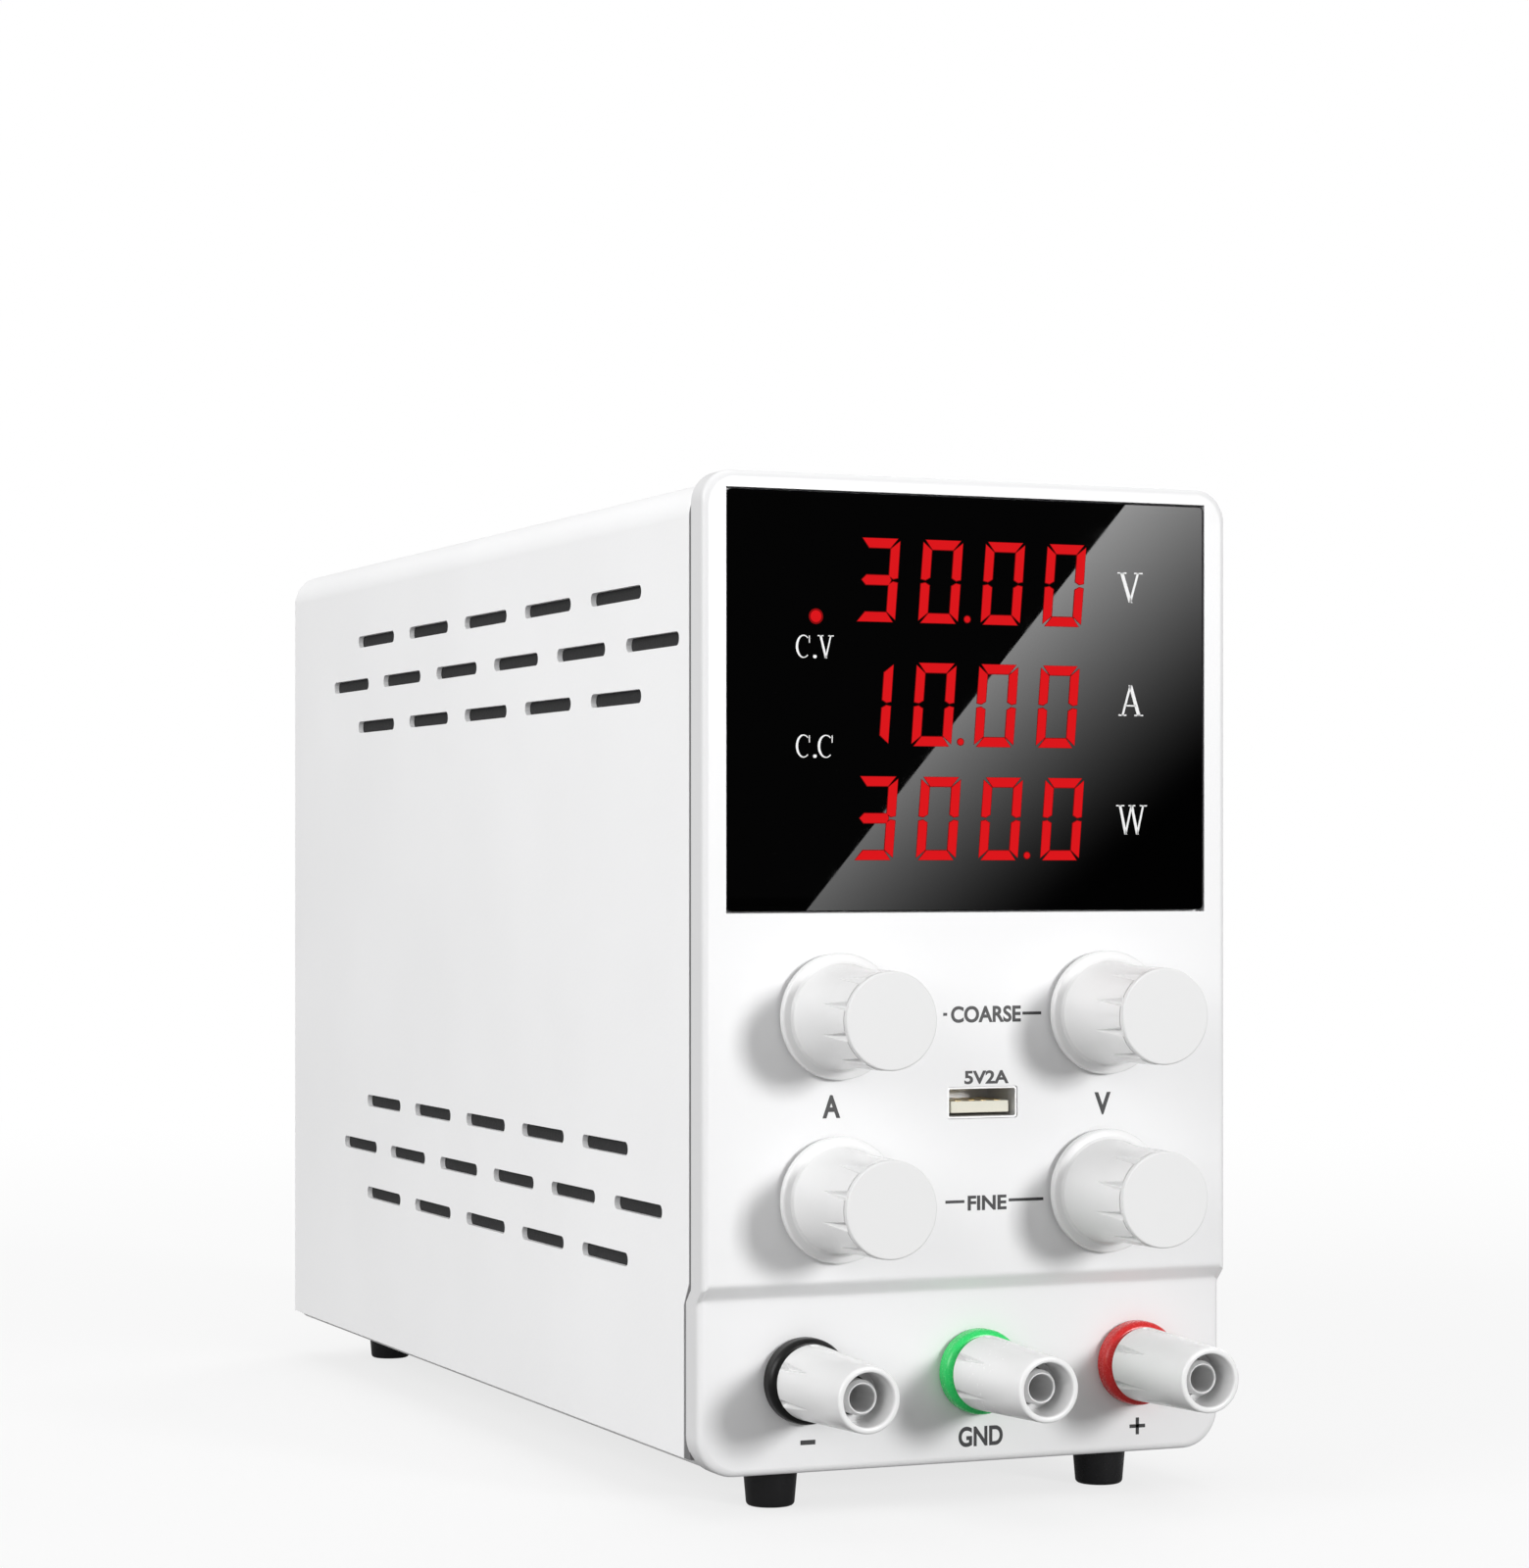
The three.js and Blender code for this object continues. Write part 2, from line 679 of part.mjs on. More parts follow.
// The stud: a plug socket in front, a wire hole that the open nut uncovers, a nut and a solder end
// behind.
function postStud() {
  const tip = -POST_LENGTH + 2.6;
  const rear = 17;
  const socketDepth = 16;
  const wireHoleRadius = 1.1;
  const wireHoleY = NUT_BASE - 2.2;
  const nutRadius = 5;
  const nutThickness = 2.7;
  const nutFront = COLLAR_BACK + GAP;
  const rod = rodY(0, 0, STUD_RADIUS, tip, rear, 16);
  const socket = rodY(0, 0, SOCKET_RADIUS, tip - 1, tip + socketDepth, 16);
  const wireHole = new THREE.CylinderGeometry(wireHoleRadius, wireHoleRadius, 2 * NUT_BASE_RADIUS, 8);
  wireHole.rotateZ(Math.PI / 2).translate(0, wireHoleY, 0);
  const nut = rodY(0, 0, nutRadius, nutFront, nutFront + nutThickness, 6);
  return cut(join(rod, nut), socket, wireHole);
}

function addBindingPosts() {
  for (const { name, colour, x } of POSTS) {
    const collarPlastic = finish(colour, 0.35, 0);
    place(`${name}_post_collar`, postCollar(), collarPlastic, x, STEP_BACK, POST_HEIGHT);
    place(`${name}_post_washer`, postWasher(), MATERIALS.nickel, x, STEP_BACK, POST_HEIGHT);
    place(`${name}_thumb_nut`, thumbNut(), MATERIALS.knobPlastic, x, STEP_BACK, POST_HEIGHT);
    place(`${name}_post_stud`, postStud(), MATERIALS.nickel, x, STEP_BACK, POST_HEIGHT);
  }
}

// ---------- USB outlet ----------
function usbSocket() {
  const { width, height, wall, depth } = USB_SHELL;
  const shell = cut(
    box(-width / 2, width / 2, 0, depth, -height / 2, height / 2),
    box(-width / 2 + wall, width / 2 - wall, -1, depth - 1.5, -height / 2 + wall, height / 2 - wall),
  );
  const { halfWidth, front, low, high } = USB_TONGUE;
  const tongue = box(-halfWidth, halfWidth, front, depth - 1, low, high);
  return join(shell, tongue);
}

// ---------- boards and electronics ----------
const CONTROL_BOARD = { half: 42, low: 31, high: WINDOW_BOTTOM + WINDOW_HEIGHT - WINDOW_LEDGE };
const DIGIT_MODULE = { left: -20, right: 24, low: 95.5, high: 152 };
const INDICATORS = { x: -27.5, constant_voltage_led: 137.1, constant_current_led: 121 };

function addFrontElectronics() {
  const front = CONTROL_BOARD_FRONT;
  const { half, low, high } = CONTROL_BOARD;
  place("control_board", box(-half, half, front, front + BOARD_SHEET, low, high), MATERIALS.circuitBoard);
  const digits = DIGIT_MODULE;
  const module = box(digits.left, digits.right, PANEL_WALL + GAP, front - GAP, digits.low, digits.high);
  place("led_digit_module", module, MATERIALS.ledModule);
  for (const name of ["constant_voltage_led", "constant_current_led"]) {
    place(name, indicatorLed(front - GAP), MATERIALS.redPlastic, INDICATORS.x, 0, INDICATORS[name]);
  }
}

// A domed 3 mm LED on its flange.
function indicatorLed(back) {
  const radius = 1.5;
  const flangeRadius = 1.9;
  const flange = 1;
  const tip = 3.4;
  const shoulder = 4.6;
  const profile = [
    [0, tip],
    [radius, shoulder],
    [radius, back - flange],
    [flangeRadius, back - flange],
    [flangeRadius, back],
    [0, back],
  ];
  return turned(profile, 8);
}

const HEATSINK = { front: 60, back: 190, low: 11, high: 66, plateLeft: 22, plateRight: 25 };
const FINS = { count: 7, right: 38, first: 13, pitch: 8.4, thickness: 1.6 };

function heatsink() {
  const { front, back, low, high, plateLeft, plateRight } = HEATSINK;
  const plate = box(plateLeft, plateRight, front, back, low, high);
  const fins = Array.from({ length: FINS.count }, (_, index) => {
    const z = FINS.first + index * FINS.pitch;
    return box(plateRight - 1, FINS.right, front, back, z, z + FINS.thickness);
  });
  return join(plate, ...fins);
}

const TRANSFORMER = { width: 42, length: 36, height: 44, limb: 9, x: -12, y: 110 };
const WINDING = { width: 22, length: 44, rim: 4 };

// A ferrite frame round a winding that stands out of it in front and behind.
function transformer() {
  const { width, length, height, limb } = TRANSFORMER;
  const half = width / 2;
  const core = box(-half, half, -length / 2, length / 2, 0, height);
  const opening = box(-half + limb, half - limb, -length, length, limb, height - limb);
  const coil = box(
    -WINDING.width / 2,
    WINDING.width / 2,
    -WINDING.length / 2,
    WINDING.length / 2,
    WINDING.rim,
    height - WINDING.rim,
  );
  return join(cut(core, opening), coil);
}

const CAPACITOR = {
  radius: 11,
  height: 40,
  rounding: 0.8,
  x: -25,
  places: { front_bulk_capacitor: 150, rear_bulk_capacitor: 176 },
};

function bulkCapacitor() {
  const { radius, height, rounding } = CAPACITOR;
  const profile = [
    [0, 0],
    [radius - rounding, 0],
    [radius, rounding],
    [radius, height - rounding],
    [radius - rounding, height],
    [0, height],
  ];
  return turned(profile, SMALL_ROUND).rotateX(Math.PI / 2);
}

function addMainElectronics() {
  const top = MAIN_BOARD_UNDERSIDE + BOARD_SHEET;
  const onBoard = top + GAP;
  const { half, front, back } = MAIN_BOARD;
  place("main_board", box(-half, half, front, back, MAIN_BOARD_UNDERSIDE, top), MATERIALS.circuitBoard);
  place("heatsink", heatsink(), MATERIALS.aluminium);
  place("transformer", transformer(), MATERIALS.ferrite, TRANSFORMER.x, TRANSFORMER.y, onBoard);
  for (const [name, y] of Object.entries(CAPACITOR.places)) {
    place(name, bulkCapacitor(), MATERIALS.capacitorSleeve, CAPACITOR.x, y, onBoard);
  }
}

// ---------- rear panel ----------
const INLET_BODY = { width: 27, height: 33, depth: 24 };
const SWITCH_BODY = { width: 13.6, height: 19.6, depth: 15 };
const SELECTOR_BODY = { width: 24, height: 11, depth: 10 };

function rearCutout(x, z, { width, height }) {
  return box(
    x - width / 2 - GAP,
    x + width / 2 + GAP,
    REAR_INNER - 1,
    REAR_FACE + 1,
    z - height / 2 - GAP,
    z + height / 2 + GAP,
  );
}

function fanScrewPlaces() {
  return [
    { name: "upper_left", x: FAN_HOLE_OFFSET, z: FAN_HEIGHT + FAN_HOLE_OFFSET },
    { name: "upper_right", x: -FAN_HOLE_OFFSET, z: FAN_HEIGHT + FAN_HOLE_OFFSET },
    { name: "lower_left", x: FAN_HOLE_OFFSET, z: FAN_HEIGHT - FAN_HOLE_OFFSET },
    { name: "lower_right", x: -FAN_HOLE_OFFSET, z: FAN_HEIGHT - FAN_HOLE_OFFSET },
  ];
}

const SCREW_RADIUS = 1.7;

function rearPanel() {
  const plate = alongY(insideCover(0, BASE_TOP + GAP), REAR_INNER, REAR_FACE);
  const flangeLow = BASE_UNDERSIDE + BASE_FLANGE + 4;
  const flangeHigh = COVER_TOP - COVER_RADIUS - 4;
  const flangeFront = REAR_INNER - 9;
  const flanges = [-1, 1].map((side) => {
    const middle = side * (INSIDE_HALF - REAR_SHEET / 2);
    const flange = box(-REAR_SHEET / 2, REAR_SHEET / 2, flangeFront, REAR_FACE, flangeLow, flangeHigh);
    return flange.translate(middle, 0, 0);
  });
  const screwHoles = fanScrewPlaces().map(({ x, z }) =>
    rodY(x, z, SCREW_RADIUS + GAP, REAR_INNER - 1, REAR_FACE + 1),
  );
  return cut(
    join(plate, ...flanges),
    rodY(0, FAN_HEIGHT, FAN_BORE_RADIUS, REAR_INNER - 1, REAR_FACE + 1, 32),
    ...screwHoles,
    rearCutout(INLET_X, INLET_HEIGHT, INLET_BODY),
    rearCutout(SWITCH_X, SWITCH_HEIGHT, SWITCH_BODY),
    rearCutout(SWITCH_X, SELECTOR_HEIGHT, SELECTOR_BODY),
  );
}

// ---------- fan ----------
const FAN_MOTOR_PLATE = 3; // thickness of the motor mount at the frame's inner face
const FAN_CORNER = 3.5;
const FAN_STRUT = 3; // width of the four struts that carry the motor mount
const AXLE_RADIUS = 1.5;
const BLADE = { chord: 15, thickness: 1.3, root: 10, pitch: 38 }; // the pitch is in degrees
const EYELET = { radius: 3.6, thickness: 1 };
const SCREW_HEAD = { radius: 3.1, topRadius: 2.2, edge: 0.8, height: 1.8 };
const SCREW_GRIP = 10; // how far a fan screw reaches into the frame

function fanFrame() {
  const half = FAN_SIZE / 2;
  const outline = roundedRectangle(-half, -half, half, half, FAN_CORNER);
  const block = alongY(outline, FAN_FRONT, FAN_REAR, 0, 3);
  const bore = rodY(0, 0, FAN_BORE_RADIUS, FAN_FRONT - 1, FAN_REAR + 1, 32);
  const screwHoles = fanScrewPlaces().map(({ x, z }) =>
    rodY(x, z - FAN_HEIGHT, SCREW_RADIUS + GAP, FAN_FRONT - 1, FAN_REAR + 1),
  );
  const plateBack = FAN_FRONT + FAN_MOTOR_PLATE;
  const motorPlate = rodY(0, 0, FAN_HUB_RADIUS, FAN_FRONT, plateBack, 16);
  const strutInner = FAN_HUB_RADIUS - 5;
  const strutOuter = FAN_BORE_RADIUS + 1;
  const struts = [0, 1, 2, 3].map((index) => {
    const strut = box(-FAN_STRUT / 2, FAN_STRUT / 2, FAN_FRONT, plateBack, strutInner, strutOuter);
    return strut.rotateY((index * Math.PI) / 2 + Math.PI / 4);
  });
  const bearingHole = rodY(0, 0, AXLE_RADIUS + GAP, FAN_FRONT - 1, plateBack + 1);
  return cut(join(cut(block, bore, ...screwHoles), motorPlate, ...struts), bearingHole);
}

function fanRotor() {
  const hubFront = FAN_FRONT + FAN_MOTOR_PLATE + 0.8;
  const hubRear = FAN_REAR - 1;
  const hub = rodY(0, 0, FAN_HUB_RADIUS - 0.5, hubFront, hubRear, ROUND);
  const axle = rodY(0, 0, AXLE_RADIUS, FAN_FRONT + 0.5, hubFront + 2);
  const bladeReach = FAN_BORE_RADIUS - 1;
  const pitch = THREE.MathUtils.degToRad(BLADE.pitch);
  const middle = (hubFront + hubRear) / 2;
  const blades = Array.from({ length: FAN_BLADES }, (_, index) => {
    const blade = new THREE.BoxGeometry(BLADE.chord, BLADE.thickness, bladeReach - BLADE.root);
    blade.rotateZ(pitch).translate(0, middle, (bladeReach + BLADE.root) / 2);
    return blade.rotateY((index * 2 * Math.PI) / FAN_BLADES);
  });
  const sweptSpace = rodY(0, 0, bladeReach, hubFront, hubRear, 32);
  return overlap(join(hub, axle, ...blades), join(sweptSpace, axle));
}

// The finger guard: rings of wire on two crossed bars that end in flat eyelets.
function fanGuard() {
  const back = REAR_FACE + GAP;
  const wireY = back + 2 * GUARD_WIRE;
  const ringProfile = (radius) =>
    Array.from({ length: 5 }, (_, index) => {
      const angle = (-index * Math.PI) / 2;
      return [radius + GUARD_WIRE * Math.cos(angle), wireY - GUARD_WIRE * Math.sin(angle)];
    });
  const rings = GUARD_RINGS.map((radius) => turned(ringProfile(radius)));
  const reach = Math.hypot(FAN_HOLE_OFFSET, FAN_HOLE_OFFSET);
  const bars = [0, 1].map((index) => {
    const bar = box(-GUARD_WIRE, GUARD_WIRE, back, wireY, -reach, reach);
    return bar.rotateY(Math.PI / 4 + (index * Math.PI) / 2);
  });
  const eyelets = fanScrewPlaces().map(({ x, z }) =>
    rodY(x, z - FAN_HEIGHT, EYELET.radius, back, back + EYELET.thickness),
  );
  const holes = fanScrewPlaces().map(({ x, z }) =>
    rodY(x, z - FAN_HEIGHT, SCREW_RADIUS + GAP, REAR_FACE, wireY + 2, 8),
  );
  return cut(join(...rings, ...bars, ...eyelets), ...holes);
}

function fanScrew() {
  const seat = REAR_FACE + 2 * (GAP + GUARD_WIRE) + 0.1;
  const tip = FAN_REAR - SCREW_GRIP;
  const { radius, topRadius, edge, height } = SCREW_HEAD;
  const profile = [
    [0, tip],
    [SCREW_RADIUS, tip],
    [SCREW_RADIUS, seat],
    [radius, seat],
    [radius, seat + edge],
    [topRadius, seat + height],
    [0, seat + height],
  ];
  return turned(profile, SMALL_ROUND);
}

function addFan() {
  place("fan_frame", fanFrame(), MATERIALS.blackPlastic, 0, 0, FAN_HEIGHT);
  place("fan_rotor", fanRotor(), MATERIALS.blackPlastic, 0, 0, FAN_HEIGHT);
  place("fan_guard", fanGuard(), MATERIALS.steel, 0, 0, FAN_HEIGHT);
  for (const { name, x, z } of fanScrewPlaces()) {
    place(`${name}_fan_screw`, fanScrew(), MATERIALS.steel, x, 0, z);
  }
}

// ---------- mains inlet, switch and voltage selector ----------
const FLANGE_BACK = REAR_FACE + GAP;
const FLANGE_FACE = FLANGE_BACK + FLANGE_THICKNESS;
const FUSE_DRAWER = { width: 21, height: 7, depth: 21, drop: -11.2 };
const INLET_SOCKET = { width: 24.4, height: 16.4, depth: 17, rise: 5, chamfer: 4.5 };
const INLET_PIN = { width: 2, height: 4, spacing: 7, offset: 2, setBack: 2.5 };

// A flanged block that stands through the rear panel, drawn round its own centre.
function snapInBlock({ width, height, depth }, flangeMargin) {
  const halfX = width / 2;
  const halfZ = height / 2;
  const flange = roundedRectangle(
    -halfX - flangeMargin,
    -halfZ - flangeMargin,
    halfX + flangeMargin,
    halfZ + flangeMargin,
    1.2,
  );
  return join(
    box(-halfX, halfX, REAR_FACE - depth, FLANGE_BACK + 0.5, -halfZ, halfZ),
    alongY(flange, FLANGE_BACK, FLANGE_FACE, 0, 3),
  );
}

function mainsInlet() {
  const { width, height, depth, rise, chamfer } = INLET_SOCKET;
  const socket = alongY(
    polygon([
      [-width / 2, rise - height / 2],
      [width / 2, rise - height / 2],
      [width / 2, rise + height / 2 - chamfer],
      [width / 2 - chamfer, rise + height / 2],
      [-width / 2 + chamfer, rise + height / 2],
      [-width / 2, rise + height / 2 - chamfer],
    ]),
    FLANGE_FACE - depth,
    FLANGE_FACE + 1,
  );
  const slotHalf = FUSE_DRAWER.width / 2 + GAP;
  const drawerSlot = box(
    -slotHalf,
    slotHalf,
    FLANGE_FACE - FUSE_DRAWER.depth - GAP,
    FLANGE_FACE + 1,
    FUSE_DRAWER.drop - FUSE_DRAWER.height / 2 - GAP,
    FUSE_DRAWER.drop + FUSE_DRAWER.height / 2 + GAP,
  );
  const pin = INLET_PIN;
  const pins = [
    [-pin.spacing, rise - pin.offset],
    [0, rise + pin.offset],
    [pin.spacing, rise - pin.offset],
  ].map(([x, z]) =>
    box(
      x - pin.width / 2,
      x + pin.width / 2,
      FLANGE_FACE - depth - 1,
      FLANGE_FACE - pin.setBack,
      z - pin.height / 2,
      z + pin.height / 2,
    ),
  );
  const flangeMargin = 1.8;
  return join(cut(snapInBlock(INLET_BODY, flangeMargin), socket, drawerSlot), ...pins);
}

function fuseDrawer() {
  const { width, height, depth, drop } = FUSE_DRAWER;
  const halfX = width / 2;
  const halfZ = height / 2;
  const back = FLANGE_FACE - depth;
  const face = FLANGE_FACE + 0.6;
  const bayHalf = 8;
  const gripHalf = 4;
  const gripReach = 1; // how far the finger grip stands out of the drawer's face
  const tray = box(-halfX, halfX, back, face, drop - halfZ, drop + halfZ);
  const fuseBay = box(-bayHalf, bayHalf, back + 2, FLANGE_FACE - 4, drop - 1.5, drop + height);
  const grip = box(-gripHalf, gripHalf, face - 0.1, face + gripReach, drop + 0.6, drop + 2.2);
  return join(cut(tray, fuseBay), grip);
}

const ROCKER_WELL = { width: 9.6, height: 17.8, depth: 11 };
const SWITCH_MARGIN = 1.4; // how far each flange reaches past its block
const SELECTOR_MARGIN = 1.6;
const ROCKER_PIVOT = FLANGE_FACE - 3.2;

function switchBody() {
  const { width, height, depth } = ROCKER_WELL;
  const well = box(-width / 2, width / 2, FLANGE_FACE - depth, FLANGE_FACE + 1, -height / 2, height / 2);
  return cut(snapInBlock(SWITCH_BODY, SWITCH_MARGIN), well);
}

// The rocker's side view is drawn level round its pivot, then its upper half is pressed in: "on".
function switchRocker() {
  const half = ROCKER_WELL.width / 2 - GAP;
  const sideView = polygon([
    [-5.5, -3.5],
    [-1.5, -7.6],
    [4.6, -7.9],
    [3.6, -2.4],
    [3.6, 2.4],
    [4.6, 7.9],
    [-1.5, 7.6],
    [-5.5, 3.5],
  ]);
  return alongX(sideView, -half, half).rotateX(THREE.MathUtils.degToRad(SWITCH_TILT));
}

const SELECTOR_WELL = { width: 16.6, height: 6.6, depth: 5 };
const SELECTOR_KEY = { width: 7.6, height: 6 };

function selectorBody() {
  const { width, height, depth } = SELECTOR_WELL;
  const well = box(-width / 2, width / 2, FLANGE_FACE - depth, FLANGE_FACE + 1, -height / 2, height / 2);
  return cut(snapInBlock(SELECTOR_BODY, SELECTOR_MARGIN), well);
}

// The key stands at the left end of its well as seen from behind, with a slot for a screwdriver.
function selectorKey() {
  const { width, height } = SELECTOR_KEY;
  const right = SELECTOR_WELL.width / 2 - GAP;
  const floor = FLANGE_FACE - SELECTOR_WELL.depth + GAP;
  const top = FLANGE_FACE - 1;
  const block = box(right - width, right, floor, top, -height / 2, height / 2);
  const middle = right - width / 2;
  const slotHalf = { width: 0.6, length: 2.4 };
  const slot = box(
    middle - slotHalf.width,
    middle + slotHalf.width,
    top - 1.5,
    top + 1,
    -slotHalf.length,
    slotHalf.length,
  );
  return cut(block, slot);
}

function addRearFittings() {
  const black = MATERIALS.blackPlastic;
  place("mains_inlet", mainsInlet(), black, INLET_X, 0, INLET_HEIGHT);
  place("fuse_drawer", fuseDrawer(), black, INLET_X, 0, INLET_HEIGHT);
  place("power_switch_body", switchBody(), black, SWITCH_X, 0, SWITCH_HEIGHT);
  place("power_switch_rocker", switchRocker(), black, SWITCH_X, ROCKER_PIVOT, SWITCH_HEIGHT);
  place("voltage_selector_body", selectorBody(), black, SWITCH_X, 0, SELECTOR_HEIGHT);
  place("voltage_selector_key", selectorKey(), MATERIALS.redPlastic, SWITCH_X, 0, SELECTOR_HEIGHT);
}

// ---------- the whole supply ----------
place("front_panel", frontPanel(), MATERIALS.panelPlastic);
place("display_window", displayWindow(), MATERIALS.smokedAcrylic);
place("case_cover", caseCover(), MATERIALS.coverPaint);
place("base_chassis", baseChassis(), MATERIALS.basePaint);
place("rear_panel", rearPanel(), MATERIALS.basePaint);
place("usb_socket", usbSocket(), MATERIALS.nickel, USB_X, PANEL_WALL + GAP, USB_HEIGHT);
for (const { name, x, y } of footPlaces()) {
  place(`${name}_foot`, foot(), MATERIALS.rubber, x, y, 0);
}
addControls();
addBindingPosts();
addFrontElectronics();
addMainElectronics();
addFan();
addRearFittings();

const extent = new THREE.Box3().setFromObject(body);
body.position.set(0, -(extent.min.y + extent.max.y) / 2, -extent.min.z);

const powerSupply = new THREE.Group();
powerSupply.add(body);
export default powerSupply;
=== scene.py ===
"""Looks of a white bench power supply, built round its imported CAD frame.

Lengths in this script are millimetres in the panel's own axes: x = 0 in the middle, y = 0 at the
upper front face and growing towards the back, z = 0 at the front panel's lower edge. finish_piece()
turns them into the frame's metres. Lamps and floor are placed in the frame's metres.
"""
from math import cos, pi, radians, sin, sqrt, tan

import bmesh
import bpy
from mathutils import Matrix, Vector


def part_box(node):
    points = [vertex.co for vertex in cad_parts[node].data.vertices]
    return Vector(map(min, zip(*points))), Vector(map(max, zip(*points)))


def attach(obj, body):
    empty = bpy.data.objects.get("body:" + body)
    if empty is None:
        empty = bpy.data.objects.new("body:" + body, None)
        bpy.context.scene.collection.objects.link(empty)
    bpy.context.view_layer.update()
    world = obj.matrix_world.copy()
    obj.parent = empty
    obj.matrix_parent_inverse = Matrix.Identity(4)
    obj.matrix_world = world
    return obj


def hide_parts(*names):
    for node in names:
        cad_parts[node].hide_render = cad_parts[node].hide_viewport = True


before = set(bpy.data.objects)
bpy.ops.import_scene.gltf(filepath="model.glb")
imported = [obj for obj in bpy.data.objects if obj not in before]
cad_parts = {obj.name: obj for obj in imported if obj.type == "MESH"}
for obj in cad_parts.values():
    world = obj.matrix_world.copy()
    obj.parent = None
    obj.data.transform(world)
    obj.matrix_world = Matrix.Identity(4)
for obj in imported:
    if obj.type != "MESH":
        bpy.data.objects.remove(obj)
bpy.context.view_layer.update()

MM = 0.001
panel_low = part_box("front_panel")[0]
ORIGIN = Vector((0.0, panel_low.y, panel_low.z))
FULL_TURN = 2 * pi
SMOOTH_BELOW = radians(32)  # edges that bend less than this are shaded smooth
SAME_PLACE = 1e-5


# ----- places taken from the CAD frame -----
def span(node):
    """Lowest and highest corner of a CAD node, in panel millimetres."""
    low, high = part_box(node)
    return (low - ORIGIN) / MM, (high - ORIGIN) / MM


def centre(node):
    low, high = span(node)
    return (low + high) / 2


def axis_of(node):
    """Where a node's axis along y stands, in x and z."""
    return centre(node).xz


def size(node):
    low, high = span(node)
    return high - low


PANEL = size("front_panel")
PANEL_WIDTH, PANEL_HEIGHT = PANEL.x, PANEL.z
WINDOW_FACE = span("display_window")[0].y
CONTROLS = ("current_coarse", "current_fine", "voltage_coarse", "voltage_fine")
STEP_BACK = 2.2  # how far the terminal strip lies behind the upper face
STEP_LOW = 27.0  # the slope between the two, from here
STEP_HIGH = 30.0  # to here
STEP_CREST = STEP_HIGH + 0.6  # where the slope starts on the rim's back, the lip and the cover
PANEL_RIM = 5.0  # depth of the panel's outer rim
SEAM_OPENING = 1.9  # how far the cover starts behind its CAD edge, so that the seam shows
COVER_SHEET = 1.0
COVER_CORNER = 6.0
POST_BORE = 3.1  # inner radius of collar, nut and washer
PRINT_SUNK = 0.02  # how far print and lit digits reach into the window

# ends of cutters, clear of what they cut
IN_FRONT, BEHIND_WALL = -1, 9
BELOW, ABOVE, BESIDE = -1, 200, 60


# ----- materials -----
def node_tree(name):
    made = bpy.data.materials.new(name)
    made.use_nodes = True
    made.node_tree.nodes.clear()
    return made, made.node_tree.nodes, made.node_tree.links


def set_inputs(node, values):
    for name, value in values.items():
        node.inputs[name].default_value = value


def noise(nodes, links, coordinates, feature_mm, detail):
    texture = nodes.new("ShaderNodeTexNoise")
    set_inputs(texture, {"Scale": 1 / (feature_mm * MM), "Detail": detail})
    links.new(coordinates, texture.inputs["Vector"])
    return texture.outputs["Fac"]


def mapped(nodes, links, value, low, high):
    """Stretches the middle of a noise value's range over low to high."""
    node = nodes.new("ShaderNodeMapRange")
    set_inputs(node, {"From Min": 0.3, "From Max": 0.7, "To Min": low, "To Max": high})
    links.new(value, node.inputs["Value"])
    return node.outputs["Result"]


def surface(name, colour, roughness, metallic=0.0, grain=0.003, grain_mm=0.3, tint=0.05, polish=0.06,
            specular=0.5, coat=0.0, stretch=(1, 1, 1), glow=0.0):
    """A surface whose colour, roughness and fine relief all vary.

    grain is the relief's height and grain_mm its feature size, in millimetres. tint is how much darker
    the colour gets in patches, and polish how much the roughness varies.
    """
    made, nodes, links = node_tree(name)
    output = nodes.new("ShaderNodeOutputMaterial")
    shader = nodes.new("ShaderNodeBsdfPrincipled")
    links.new(shader.outputs["BSDF"], output.inputs["Surface"])
    where = nodes.new("ShaderNodeTexCoord")
    mapping = nodes.new("ShaderNodeMapping")
    mapping.inputs["Scale"].default_value = stretch
    links.new(where.outputs["Object"], mapping.inputs["Vector"])
    patch_mm = 35.0
    patches = noise(nodes, links, where.outputs["Object"], patch_mm, 4.0)
    relief = noise(nodes, links, mapping.outputs["Vector"], grain_mm, 3.0)
    blend = nodes.new("ShaderNodeMix")
    blend.data_type = "RGBA"
    dark = [channel * (1 - tint) for channel in colour]
    set_inputs(blend, {"A": (*dark, 1), "B": (*colour, 1)})
    links.new(mapped(nodes, links, patches, 0, 1), blend.inputs["Factor"])
    links.new(blend.outputs["Result"], shader.inputs["Base Color"])
    rough = nodes.new("ShaderNodeMath")
    rough.operation = "ADD"
    links.new(mapped(nodes, links, patches, roughness - polish, roughness), rough.inputs[0])
    links.new(mapped(nodes, links, relief, 0, polish), rough.inputs[1])
    links.new(rough.outputs["Value"], shader.inputs["Roughness"])
    bump = nodes.new("ShaderNodeBump")
    bump.inputs["Distance"].default_value = grain * MM
    links.new(relief, bump.inputs["Height"])
    links.new(bump.outputs["Normal"], shader.inputs["Normal"])
    set_inputs(shader, {"Metallic": metallic, "Specular IOR Level": specular, "Coat Weight": coat,
                        "Coat Roughness": 0.12})
    if glow:
        set_inputs(shader, {"Emission Color": (*colour, 1), "Emission Strength": glow})
    return made


